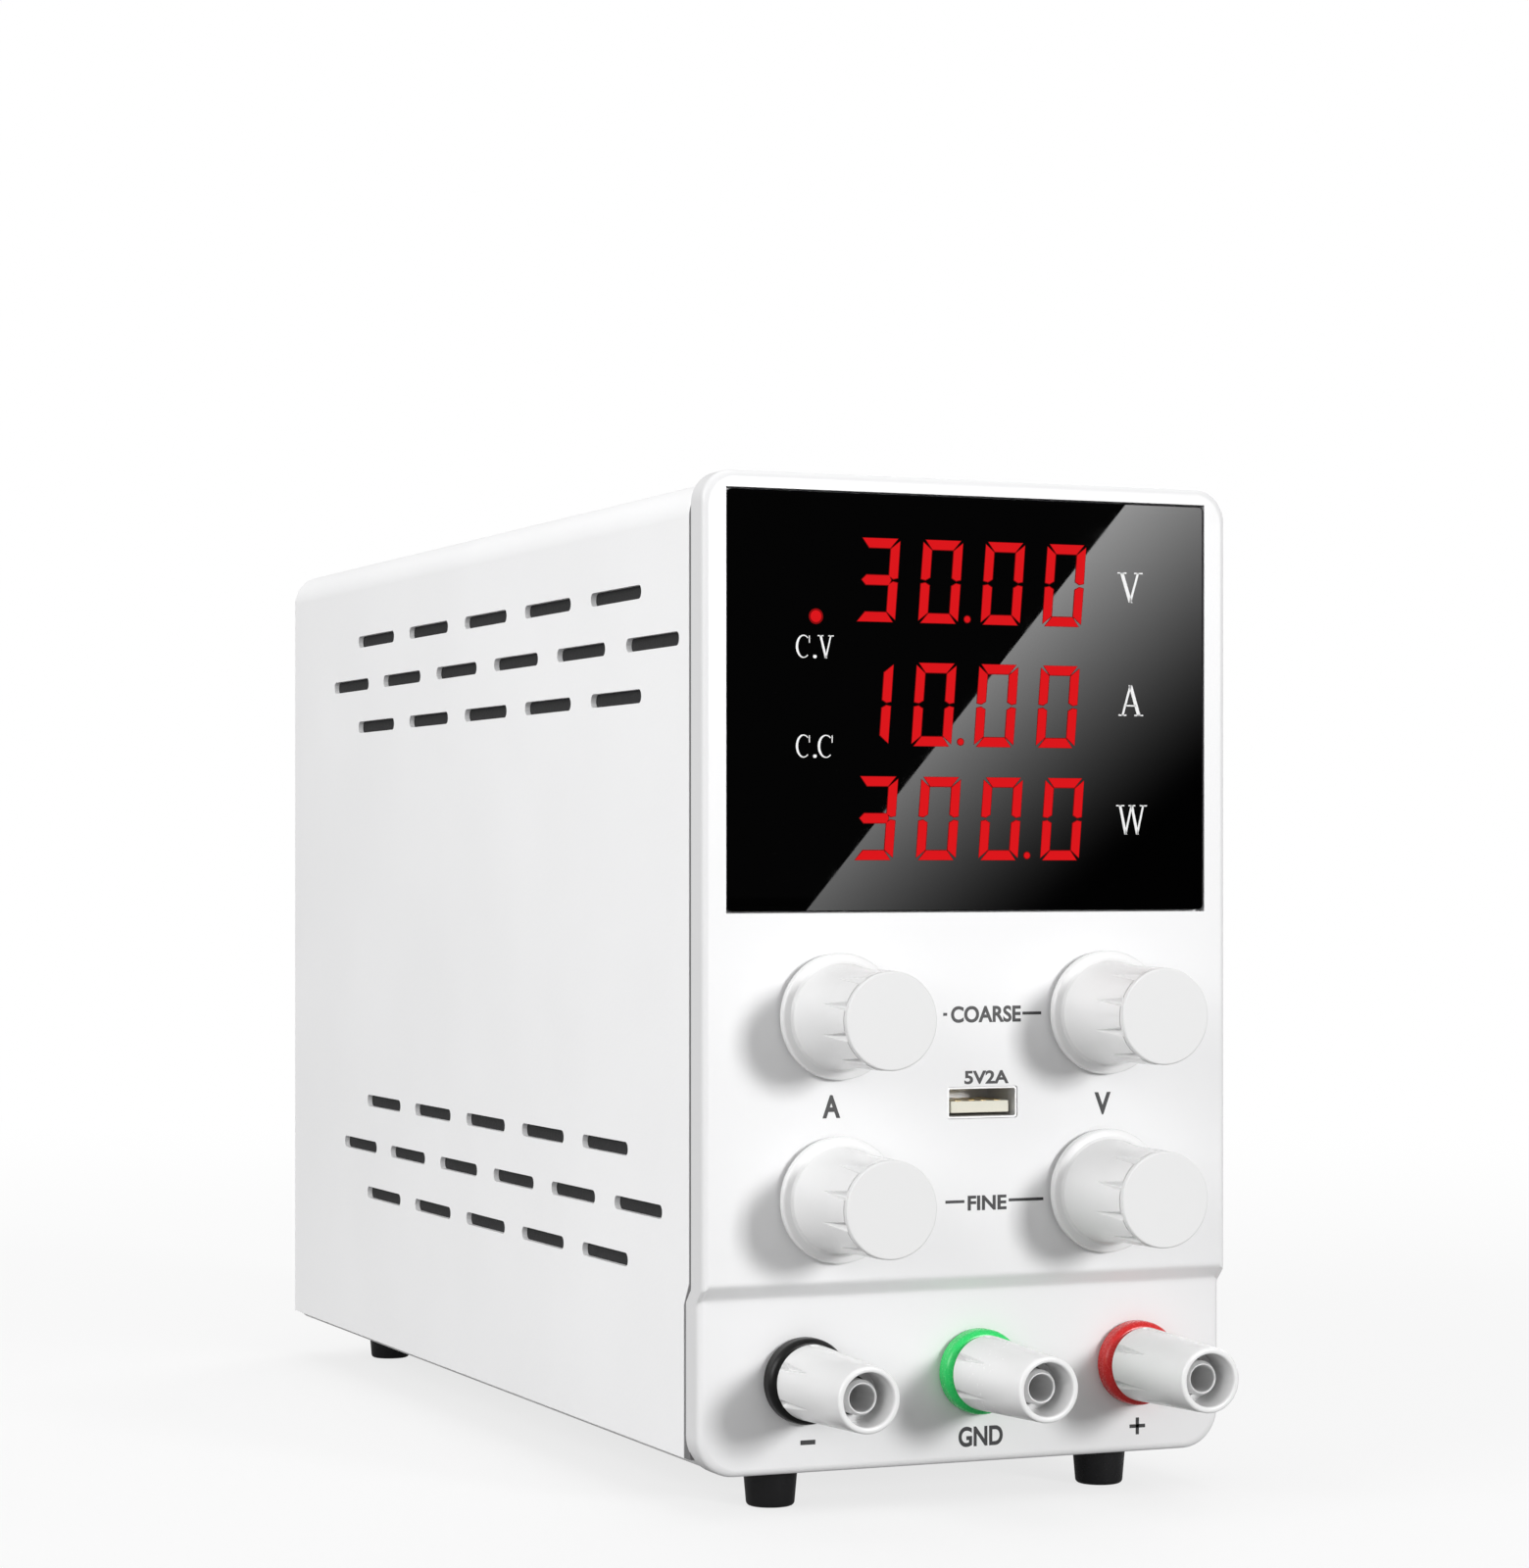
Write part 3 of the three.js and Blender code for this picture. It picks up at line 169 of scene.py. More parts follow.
PANEL_PLASTIC = surface("panel_plastic", (0.86, 0.86, 0.865), 0.38, grain=0.006, grain_mm=0.35, tint=0.015)
CASE_PAINT = surface("case_paint", (0.84, 0.84, 0.845), 0.48, grain=0.02, grain_mm=0.7, tint=0.02)
KNOB_PLASTIC = surface("knob_plastic", (0.88, 0.88, 0.88), 0.22, grain=0.002, grain_mm=0.6, tint=0.01)
CAP_PLASTIC = surface("cap_plastic", (0.82, 0.82, 0.82), 0.5, grain=0.004, grain_mm=0.25, tint=0.02)
SMOKED = surface("smoked_window", (0.0012, 0.0012, 0.0013), 0.012, grain=0.0, grain_mm=4.0, tint=0.3,
                 polish=0.012, specular=0.025)
NICKEL = surface("nickel", (0.86, 0.86, 0.86), 0.34, metallic=1.0, grain=0.002)
SOCKET = surface("socket_plating", (0.8, 0.8, 0.8), 0.4, metallic=0.3, grain=0.002)
STEEL = surface("steel", (0.55, 0.55, 0.56), 0.32, metallic=1.0, grain=0.004, grain_mm=0.4, tint=0.15)
ALUMINIUM = surface("aluminium", (0.72, 0.73, 0.74), 0.4, metallic=1.0, grain=0.006, grain_mm=0.4, tint=0.1,
                    stretch=(1, 0.05, 1))
BLACK_PLASTIC = surface("black_plastic", (0.018, 0.018, 0.02), 0.42, grain=0.01, tint=0.2)
RED_PLASTIC = surface("red_plastic", (0.62, 0.025, 0.02), 0.35, grain=0.006, tint=0.1)
COLLAR_BLACK = surface("collar_black", (0.006, 0.006, 0.006), 0.38, grain_mm=0.4, tint=0.2, specular=0.3)
COLLAR_GREEN = surface("collar_green", (0.03, 0.72, 0.16), 0.25, grain_mm=0.4, tint=0.08)
COLLAR_RED = surface("collar_red", (0.68, 0.02, 0.02), 0.25, grain_mm=0.4, tint=0.08)
RUBBER = surface("rubber", (0.012, 0.012, 0.013), 0.24, grain=0.004, grain_mm=0.5, tint=0.25, polish=0.08)
BOARD = surface("circuit_board", (0.02, 0.16, 0.06), 0.35, grain=0.02, grain_mm=1.5, tint=0.25, coat=0.3)
FERRITE = surface("ferrite", (0.08, 0.07, 0.06), 0.6, grain=0.03, grain_mm=0.6, tint=0.2)
SLEEVE = surface("capacitor_sleeve", (0.03, 0.05, 0.2), 0.3, grain=0.01, grain_mm=2.0, tint=0.15)
MODULE = surface("led_module", (0.03, 0.03, 0.03), 0.5, grain=0.01, tint=0.2)
# a dark sheet behind the vent slots: painted shade for the shadowed inside of the case
PAINTED_SLOT_SHADE = surface("painted_slot_shade", (0.018, 0.018, 0.019), 0.7, grain=0.05, grain_mm=0.4, tint=0.3)
# the seam lip is the panel's white plastic; this dark grey is painted shade for the deep seam
LIP_PAINTED_SHADE = surface("lip_painted_shade", (0.20, 0.20, 0.205), 0.6, grain_mm=0.4)
PRINT_DARK = surface("panel_print", (0.02, 0.02, 0.022), 0.4, grain=0.002, tint=0.2)
# white print on the window; its faint glow is painted light that keeps the letters bright under any lamp
PRINT_WITH_PAINTED_GLOW = surface("window_print_painted_glow", (0.72, 0.72, 0.72), 0.4, grain=0.001, glow=0.12)
LIT_RED = surface("lit_red", (0.12, 0.0015, 0.002), 0.5, grain=0.0005, grain_mm=0.4, specular=0.0, glow=5.0)
HALO_RED = surface("red_halo", (0.06, 0.001, 0.0012), 0.5, grain=0.0005, grain_mm=0.4, tint=0.1,
                   specular=0.0, glow=3.2)
TONGUE = surface("usb_tongue", (0.80, 0.78, 0.66), 0.35, tint=0.06)
GOLD = surface("contact_gold", (0.85, 0.62, 0.28), 0.2, metallic=1.0, grain=0.001, tint=0.06)

# each post's collar: its slot in the frame and its material
COLLARS = {
    "negative": ("collar_black", COLLAR_BLACK),
    "ground": ("collar_green", COLLAR_GREEN),
    "positive": ("collar_red", COLLAR_RED),
}


# ----- outlines -----
def rounded(corners, closed, steps=6):
    """A line through (u, v, radius) corners, with each corner eased by its radius."""
    points = []
    count = len(corners)
    for index, (u, v, radius) in enumerate(corners):
        here = Vector((u, v))
        if radius <= 0 or (not closed and index in (0, count - 1)):
            points.append(here)
            continue
        before = Vector(corners[index - 1][:2]) - here
        after = Vector(corners[(index + 1) % count][:2]) - here
        half_angle = before.angle(after) / 2
        reach = min(radius / tan(half_angle), before.length * 0.49, after.length * 0.49)
        swing = pi / 2 - half_angle
        bulge = reach * tan(half_angle)
        inwards = (before.normalized() + after.normalized()).normalized()
        middle = here + inwards * bulge / sin(half_angle)
        first = here + before.normalized() * reach - middle
        side = 1 if first.cross(here + after.normalized() * reach - middle) > 0 else -1
        for step in range(steps + 1):
            turn = side * 2 * swing * step / steps
            points.append(middle + Matrix.Rotation(turn, 2) @ first)
    return points


def rectangle(left, low, right, high, radius, steps=8):
    corners = [(left, low, radius), (right, low, radius), (right, high, radius), (left, high, radius)]
    return rounded(corners, True, steps)


# ----- building solids -----
def placed(name, data):
    """A new object in the scene."""
    made = bpy.data.objects.new(name, data)
    bpy.context.scene.collection.objects.link(made)
    return made


def final_mesh(holder):
    """A copy of an object's mesh with its modifiers applied."""
    return bpy.data.meshes.new_from_object(holder.evaluated_get(bpy.context.evaluated_depsgraph_get()))


def mesh_of(bm, name):
    """Turns a solid into a mesh of that name."""
    mesh = bpy.data.meshes.new(name)
    bm.to_mesh(mesh)
    bm.free()
    return mesh


def solid_of(mesh):
    """Turns a mesh back into a solid."""
    bm = bmesh.new()
    bm.from_mesh(mesh)
    bpy.data.meshes.remove(mesh)
    return bm


def bridge(bm, one, two):
    """Faces between two closed rings of points."""
    count = len(one)
    for index in range(count):
        after = (index + 1) % count
        bm.faces.new((one[index], one[after], two[after], two[index]))


def face_outwards(bm):
    bm.normal_update()
    bmesh.ops.recalc_face_normals(bm, faces=bm.faces)
    if bm.calc_volume(signed=True) < 0:
        bmesh.ops.reverse_faces(bm, faces=bm.faces)


def slab(outline, y_front, y_back):
    """A closed prism of an outline in x and z."""
    bm = bmesh.new()
    front = [bm.verts.new((p.x, y_front, p.y)) for p in outline]
    back = [bm.verts.new((p.x, y_back, p.y)) for p in outline]
    bridge(bm, front, back)
    bm.faces.new(front[::-1])
    bm.faces.new(back)
    face_outwards(bm)
    return bm


def plate(left, low, right, high, radius, y_front, y_back):
    """A slab with a rounded rectangle's outline."""
    return slab(rectangle(left, low, right, high, radius), y_front, y_back)


def side_prism(outline, x_left, x_right):
    """A closed prism of an outline in y and z, swept across."""
    bm = slab(outline, x_left, x_right)
    swap = Matrix(((0, 1, 0), (1, 0, 0), (0, 0, 1)))
    for vert in bm.verts:
        vert.co = swap @ vert.co
    face_outwards(bm)
    return bm


def across(outline):
    """A prism of (y, z) points that is wider than the case, to cut with."""
    return side_prism([Vector(p) for p in outline], -BESIDE, BESIDE)


def block(low, high):
    bm = bmesh.new()
    bmesh.ops.create_cube(bm, size=1)
    low, high = Vector(low), Vector(high)
    for vert in bm.verts:
        vert.co = Vector([(low[i] + high[i]) / 2 + vert.co[i] * (high[i] - low[i]) for i in range(3)])
    return bm


def turned(profile, middle=(0, 0), sides=96, closed=False, relief=None):
    """A (radius, y) line turned about an axis along y through middle (x, z). relief lowers the surface."""
    bm = bmesh.new()
    rings = []
    for point in profile:
        ring = []
        for index in range(sides):
            angle = FULL_TURN * index / sides
            radius = point[0] - (relief(angle, point[0], point[1]) if relief else 0)
            ring.append(bm.verts.new((middle[0] + radius * sin(angle), point[1],
                                      middle[1] + radius * cos(angle))))
        rings.append(ring)
    pairs = list(zip(rings, rings[1:]))
    if closed:
        pairs.append((rings[-1], rings[0]))
    for one, two in pairs:
        bridge(bm, one, two)
    bmesh.ops.remove_doubles(bm, verts=bm.verts, dist=SAME_PLACE)
    face_outwards(bm)
    return bm


def rod(radius, y_start, y_end, middle=(0, 0), sides=48):
    """A plain cylinder along y."""
    return turned([(0, y_start), (radius, y_start), (radius, y_end), (0, y_end)], middle, sides)


def merged(*parts):
    """Several closed solids in one mesh."""
    whole = bmesh.new()
    for part in parts:
        mesh = mesh_of(part, "part")
        whole.from_mesh(mesh)
        bpy.data.meshes.remove(mesh)
    return whole


def shifted(bm, offset):
    bmesh.ops.translate(bm, verts=bm.verts, vec=Vector(offset))
    return bm


def spun(bm, degrees, axis):
    turn = Matrix.Rotation(radians(degrees), 3, axis)
    bmesh.ops.rotate(bm, verts=bm.verts, cent=Vector((0, 0, 0)), matrix=turn)
    return bm


def carved(solid, *cutters):
    """The solid less its cutters."""
    base = placed("base", mesh_of(solid, "base"))
    tool = placed("tool", mesh_of(merged(*cutters), "tool"))
    step = base.modifiers.new("cut", "BOOLEAN")
    step.operation = "DIFFERENCE"
    step.solver = "EXACT"
    step.use_self = True
    step.object = tool
    result = final_mesh(base)
    for holder in (base, tool):
        bpy.data.objects.remove(holder)
    return solid_of(result)


def soften(piece, width):
    """Rounds a piece's sharp edges."""
    bevel = piece.modifiers.new("edge", "BEVEL")
    bevel.width = width * MM
    bevel.segments = 3
    bevel.limit_method = "ANGLE"
    bevel.angle_limit = radians(35)


def finish_piece(bm, name, material, stands_for=None, edge=0.0, body="enclosure"):
    """Makes a riding piece from a solid in panel millimetres. edge is the width of its eased edges."""
    for vert in bm.verts:
        vert.co = ORIGIN + vert.co * MM
    for edge_line in bm.edges:
        edge_line.smooth = edge_line.calc_face_angle(0.0) < SMOOTH_BELOW
    for face in bm.faces:
        face.smooth = True
    mesh = mesh_of(bm, name)
    mesh.materials.append(material)
    piece = placed(name, mesh)
    if edge:
        soften(piece, edge)
    weighted = piece.modifiers.new("normals", "WEIGHTED_NORMAL")
    weighted.keep_sharp = True
    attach(piece, body)
    if stands_for:
        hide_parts(stands_for)


# ----- front panel -----
def face_depth(z):
    """How far back the panel's face lies at a height: two flats joined by a slope."""
    crest, root = STEP_HIGH - 0.1, STEP_LOW + 0.7
    share = (crest - z) / (crest - root)
    return STEP_BACK * min(max(share, 0.0), 1.0)


def panel_half_outline():
    """The panel's right half, from its foot to its top, with close points along the step's slope."""
    half = PANEL_WIDTH / 2
    flat = half - 20
    foot_end, top_start = 40, 100
    foot_radius, top_radius = 6.5, 5.0
    foot = rounded([(flat, 0, 0), (half, 0, foot_radius), (half, foot_end, 0)], False, 12)
    slope = [Vector((half, STEP_LOW - 0.8 + index * 0.4)) for index in range(13)]
    top = rounded([(half, top_start, 0), (half, PANEL_HEIGHT, top_radius), (flat, PANEL_HEIGHT, 0)],
                  False, 12)
    return foot[1:-1] + slope + top[1:-1]


def panel_shell():
    """The bezel as one solid: rings of its outline, from the stepped face's eased edge to the rim's back."""
    bm = bmesh.new()
    outline = panel_half_outline()
    middle_z = PANEL_HEIGHT / 2
    ease = 1.1
    steps = 6
    angles = [FULL_TURN / 4 * level / steps for level in range(steps + 1)]
    levels = [(ease * (1 - sin(angle)), ease * (1 - cos(angle))) for angle in angles]
    levels.append((0.0, PANEL_RIM))
    rings = []
    for inset, drop in levels:
        ring = []
        for point in outline:
            x = point.x - inset
            y = face_depth(point.y) + drop
            z = middle_z + (point.y - middle_z) * (1 - inset / middle_z)
            ring.append((bm.verts.new((x, y, z)), bm.verts.new((-x, y, z))))
        rings.append(ring)
    for near, far in zip(rings, rings[1:]):
        for (a, b), (c, d), (e, f), (g, h) in zip(near, near[1:], far, far[1:]):
            bm.faces.new((a, e, g, c))
            bm.faces.new((b, d, h, f))
        for end in (0, -1):
            bm.faces.new((near[end][0], near[end][1], far[end][1], far[end][0]))
    for ring in (rings[0], rings[-1]):
        for (a, b), (c, d) in zip(ring, ring[1:]):
            bm.faces.new((a, b, d, c))
    face_outwards(bm)
    return bm


def build_front_panel():
    window_low, window_high = span("display_window")
    usb_low, usb_high = span("usb_socket")
    gap = 0.3
    usb_lap = 0.25
    wall = 2.5
    inner_half = PANEL_WIDTH / 2 - wall
    pocket_top, pocket_back = PANEL_HEIGHT - wall, 12
    pocket = [(wall, pocket_top), (wall, STEP_HIGH), (wall + STEP_BACK, STEP_LOW), (wall + STEP_BACK, wall),
              (pocket_back, wall), (pocket_back, pocket_top)]
    cutters = [
        side_prism([Vector(p) for p in pocket], -inner_half, inner_half),
        block((window_low.x - gap, IN_FRONT, window_low.z - gap),
              (window_high.x + gap, window_high.y + gap, window_high.z + gap)),
        block((window_low.x + wall, IN_FRONT, window_low.z + wall),
              (window_high.x - wall, BEHIND_WALL, window_high.z - wall)),
        plate(usb_low.x + usb_lap, usb_low.z + usb_lap, usb_high.x - usb_lap, usb_high.z - usb_lap, 0.4,
              IN_FRONT, BEHIND_WALL),
    ]
    shaft_hole, post_hole = 4.8, 4.9
    holes = [(f"{name}_shaft", shaft_hole) for name in CONTROLS]
    holes += [(f"{name}_post_collar", post_hole) for name in COLLARS]
    for node, radius in holes:
        cutters.append(rod(radius, IN_FRONT, BEHIND_WALL, axis_of(node)))
    bm = carved(panel_shell(), *cutters)
    finish_piece(bm, "front_panel_shell", PANEL_PLASTIC, "front_panel")


def step_line(y):
    """The panel's step carried back to a depth y, as (y, z) points going down."""
    return [(y, STEP_CREST), (y + STEP_BACK, STEP_LOW), (y + STEP_BACK, BELOW)]


def build_seam_lip():
    """The panel's lip that the cover slides up to, coloured dark grey as painted shade so that it reads as
    the shadowed line round the seam.
    """
    low, high = span("case_cover")
    sunk = 0.12
    front = low.y + SEAM_OPENING
    back = front + 20
    band = cover_band(low.z, high.x - sunk, high.z - sunk, COVER_CORNER - sunk)
    strip = slab(band, PANEL_RIM - 1, front + STEP_BACK)
    cover_room = across([(front, ABOVE), *step_line(front), (back, BELOW), (back, ABOVE)])
    rim = PANEL_RIM - 0.3
    before = -5
    panel_room = across([(before, ABOVE), (rim, ABOVE), *step_line(rim), (before, BELOW)])
    lip = carved(strip, cover_room, panel_room)
    finish_piece(lip, "front_panel_lip", LIP_PAINTED_SHADE)


# ----- display -----
SEGMENTS_OF = {"0": "abcdef", "1": "bc", "3": "abcdg"}
DIGIT_WIDTH = 7.0
DIGIT_HEIGHT = 13.4
DIGIT_PITCH = 11.2
DIGIT_SLANT = 0.075
BAR_WIDTH = 1.5
BAR_GAP = 0.42


def segment_outlines():
    """The seven bars of a digit round its own middle, mitred where they meet."""
    w, h = DIGIT_WIDTH / 2, DIGIT_HEIGHT / 2
    t, g = BAR_WIDTH, BAR_GAP
    m = t / 2
    inner = g * 0.4
    top = [(-w + g, h), (w - g, h), (w - t - inner, h - t), (-w + t + inner, h - t)]
    side = [(w, h - g), (w, m * 0.55), (w - m, g * 0.6), (w - t, m * 0.9), (w - t, h - t - inner)]
    middle = [(-w + m, 0), (-w + t, m), (w - t, m), (w - m - g, 0), (w - t, -m), (-w + t, -m)]

    def mirrored(points, u_sign, v_sign):
        return [(u * u_sign, v * v_sign) for u, v in points]

    return {"a": top, "b": side, "c": mirrored(side, 1, -1), "d": mirrored(top, 1, -1),
            "e": mirrored(side, -1, -1), "f": mirrored(side, -1, 1), "g": middle}


def grown(outline, amount):
    """An outline pushed outwards all round, for the glow round a lit bar."""
    points = [Vector(p) for p in outline]
    area = sum(a.cross(b) for a, b in zip(points, points[1:] + points[:1]))
    side = 1 if area > 0 else -1
    result = []
    for index, here in enumerate(points):
        before = (here - points[index - 1]).normalized()
        after = (points[(index + 1) % len(points)] - here).normalized()
        normal = Vector((before.y + after.y, -before.x - after.x)) * side
        result.append(here + normal.normalized() * amount)
    return result


def readout(name, text, dot_after, first_x, height):
    """A row of lit digits with its decimal point, and the glow round them, on the window's face."""
    back = WINDOW_FACE + PRINT_SUNK
    bars = segment_outlines()
    dot = (first_x + DIGIT_PITCH * dot_after + DIGIT_WIDTH / 2 + 1.25, height - DIGIT_HEIGHT / 2 + 0.75)
    dot_radius = 0.5
    layers = (("digits", 0.0, 0.06, LIT_RED), ("digit_glow", 0.14, 0.04, HALO_RED))
    for layer, spread, proud, material in layers:
        parts = []
        for index, digit in enumerate(text):
            middle = first_x + DIGIT_PITCH * index
            for key in SEGMENTS_OF[digit]:
                points = [Vector((middle + p.x + DIGIT_SLANT * p.y, height + p.y))
                          for p in grown(bars[key], spread)]
                parts.append(slab(points, WINDOW_FACE - proud, back))
        parts.append(rod(dot_radius + spread, WINDOW_FACE - proud, back, dot, 24))
        finish_piece(merged(*parts), f"{name}_{layer}", material)


def serif_glyphs():
    """Each letter as convex strokes in a unit box: thick and thin stems, hairline serifs."""
    thin, serif = 0.085, 0.045

    def stem(x0, z0, x1, z1, width):
        return [(x0 - width / 2, z0), (x0 + width / 2, z0), (x1 + width / 2, z1), (x1 - width / 2, z1)]

    def foot(x0, x1, z):
        return [(x0, z), (x1, z), (x1, z + serif), (x0, z + serif)]

    bowl = []
    steps = 20
    for step in range(steps):
        one, two = (radians(50 + 260 * (step + end) / steps) for end in (0, 1))
        bowl.append([(0.5 + 0.5 * cos(one), 0.5 + 0.5 * sin(one)),
                     (0.5 + 0.5 * cos(two), 0.5 + 0.5 * sin(two)),
                     (0.53 + 0.38 * cos(two), 0.5 + 0.455 * sin(two)),
                     (0.53 + 0.38 * cos(one), 0.5 + 0.455 * sin(one))])
    return {
        "V": [stem(0.52, 0, 0.17, 1, 0.14), stem(0.5, 0, 0.82, 1, thin), foot(0, 0.36, 1 - serif),
              foot(0.66, 1, 1 - serif)],
        "A": [stem(0.83, 0, 0.48, 1, 0.14), stem(0.16, 0, 0.49, 1, thin), foot(0, 0.32, 0), foot(0.64, 1, 0),
              foot(0.28, 0.72, 0.31)],
        "W": [stem(0.31, 0, 0.12, 1, 0.085), stem(0.3, 0, 0.5, 1, 0.06), stem(0.69, 0, 0.5, 1, 0.085),
              stem(0.68, 0, 0.88, 1, 0.06), foot(0, 0.26, 1 - serif), foot(0.4, 0.62, 1 - serif),
              foot(0.77, 1, 1 - serif)],
        "C": bowl + [stem(0.9, 0.66, 0.9, 0.97, 0.06)],
        ".": [[(0.3, 0), (0.7, 0), (0.85, 0.07), (0.7, 0.14), (0.3, 0.14), (0.15, 0.07)]],
    }


def window_letters(name, letters, glyphs):
    """letters: (glyph, left, right, low, high) boxes on the window."""
    strokes = []
    for glyph, left, right, low, high in letters:
        for stroke in glyphs[glyph]:
            points = [Vector((left + (right - left) * u, low + (high - low) * v)) for u, v in stroke]
            strokes.append(slab(points, WINDOW_FACE - 0.05, WINDOW_FACE + PRINT_SUNK))
    finish_piece(merged(*strokes), name, PRINT_WITH_PAINTED_GLOW)


def build_display():
    low, high = span("display_window")
    pane = plate(low.x, low.z, high.x, high.z, 0.8, low.y, high.y)
    finish_piece(pane, "display_pane", SMOKED, "display_window", edge=0.12)
    readout("voltage", "3000", 1, -16.7, 143.2)
    readout("current", "1000", 1, -17.9, 123.3)
    readout("power", "3000", 2, -17.1, 104.9)
    glyphs = serif_glyphs()
    window_letters("unit_letters", [("V", 26.7, 31.4, 140.7, 145.7), ("A", 26.9, 31.5, 122.0, 127.1),
                                    ("W", 26.5, 32.2, 102.4, 107.3)], glyphs)
    for mode, second, base in (("voltage", "V", 130.4), ("current", "C", 114.5)):
        top = base + 3.7
        letters = [("C", -31.0, -28.4, base, top), (".", -28.2, -27.2, base, top),
                   (second, -27.2, -24.4, base, top)]
        window_letters(f"constant_{mode}_letters", letters, glyphs)
    build_indicator()


def build_indicator():
    """The lit constant-voltage light and its glow."""
    at = (-27.5, 137.1)
    front, back = WINDOW_FACE, WINDOW_FACE + PRINT_SUNK
    dome = [(0, front - 0.3), (0.5, front - 0.27), (0.85, front - 0.12), (0.98, back), (0, back)]
    finish_piece(turned(dome, at, 32), "constant_voltage_light", LIT_RED)
    glow = rod(1.25, front - 0.02, back, at, 32)
    finish_piece(glow, "constant_voltage_glow", HALO_RED)


# ----- printed labels -----
def label(name, text, left, right, low, high, face):
    """Text fitted into a box on the panel, as a thin layer of print."""
    curve = bpy.data.curves.new(name, "FONT")
    curve.body = text
    curve.extrude = 0.02  # half the layer's thickness
    curve.offset = 0.03  # makes the letters a little bolder
    proud = 0.01
    holder = placed(name, curve)
    mesh = final_mesh(holder)
    bpy.data.objects.remove(holder)
    bm = solid_of(mesh)
    bmesh.ops.remove_doubles(bm, verts=bm.verts, dist=SAME_PLACE)
    xs = [v.co.x for v in bm.verts]
    ys = [v.co.y for v in bm.verts]
    for vert in bm.verts:
        x = left + (vert.co.x - min(xs)) / (max(xs) - min(xs)) * (right - left)
        z = low + (vert.co.y - min(ys)) / (max(ys) - min(ys)) * (high - low)
        vert.co = Vector((x, face - vert.co.z - proud, z))
    face_outwards(bm)
    finish_piece(bm, name, PRINT_DARK)


def printed_bar(name, left, right, low, high, face):
    bar = block((left, face - 0.03, low), (right, face + 0.01, high))
    finish_piece(bar, name, PRINT_DARK)


def rule(name, left, right, height, face, thick=0.48):
    """A level printed line."""
    printed_bar(name, left, right, height - thick / 2, height + thick / 2, face)


def build_labels():
    strip = STEP_BACK
    coarse = centre("current_coarse_knob").z
    fine = centre("current_fine_knob").z
    label("coarse_label", "COARSE", -3.7, 8.9, coarse - 1.4, coarse + 1.3, 0)
    label("fine_label", "FINE", -0.7, 6.3, fine - 2.6, fine - 0.2, 0)
    for name, left, right, height in (
            ("coarse_rule_left", -5.1, -4.4, coarse), ("coarse_rule_right", 9.2, 12.6, coarse),
            ("fine_rule_left", -4.7, -1.3, fine - 1.1), ("fine_rule_right", 6.7, 13.0, fine - 1.1)):
        rule(name, left, right, height, 0)
    usb_top = span("usb_socket")[1].z
    label("usb_rating_label", "5V2A", -1.3, 6.7, usb_top + 0.15, usb_top + 2.35, 0)
    middle = (coarse + fine) / 2
    label("current_label", "A", -26.4, -23.3, middle - 1.65, middle + 2.05, 0)
    label("voltage_label", "V", 22.4, 25.4, middle - 2.25, middle + 1.45, 0)
    ground, minus, plus = (centre(f"{name}_post_collar").x for name in ("ground", "negative", "positive"))
    label("ground_label", "GND", ground - 3.3, ground + 4.7, 2.6, 5.9, strip)
    rule("minus_label", minus - 0.4, minus + 2.2, 4.95, strip, 0.75)
    rule("plus_label_bar", plus - 0.8, plus + 2.1, 4.3, strip, 0.6)
    printed_bar("plus_label_upright", plus + 0.35, plus + 0.95, 2.9, 5.7, strip)


# ----- knobs -----
def wedge_relief(count, wide_y, thin_y, depth, half_width, plain_radius):
    """Grooves that are deepest and widest at wide_y and run out at thin_y.

    Points up to plain_radius, and those past the wide end, stay plain.
    """
    def relief(angle, radius, y):
        share = (y - thin_y) / (wide_y - thin_y)
        if radius <= plain_radius or share <= 0 or share > 1.02:
            return 0.0
        pitch = FULL_TURN / count
        off = (angle + pitch / 2) % pitch - pitch / 2
        aside = abs(off) * radius / (half_width * share)
        if aside >= 1:
            return 0.0
        return depth * share * (0.5 + 0.5 * cos(pi * aside))
    return relief


def knob_line(front, back, flange, grip):
    """A knob's (radius, y) line: shaft bore, rear cavity, flange, flare, grip and the cap's seat."""
    bore, bore_end = 3.15, back - 15
    cavity, cavity_end = 6.5, back - 3.9
    seat, seat_end = 5.7, front + 2.1
    flare_start, flare_length = back - 2.1, 11.5
    grip_start = flare_start - flare_length
    flare_steps, grip_steps = 25, 24
    line = [(0, bore_end), (bore, bore_end), (bore, cavity_end), (cavity, cavity_end)]
    line += rounded([(cavity, back, 0), (flange, back, 0.35), (flange, back - 1.5, 0.5),
                     (flange - 1.2, back - 1.75, 0.3), (flange - 1.6, flare_start, 0)], False, 5)
    for step in range(1, flare_steps + 1):
        share = step / flare_steps
        spread = (flange - 1.75 - grip) * (1 - share) ** 2.4
        line.append((grip + 0.12 + spread, flare_start - share * flare_length))
    for step in range(1, grip_steps + 1):
        share = step / grip_steps
        line.append((grip + 0.12 - 0.07 * share, grip_start + (front - grip_start) * share))
    return line + [(seat, front), (seat, seat_end), (0, seat_end)]


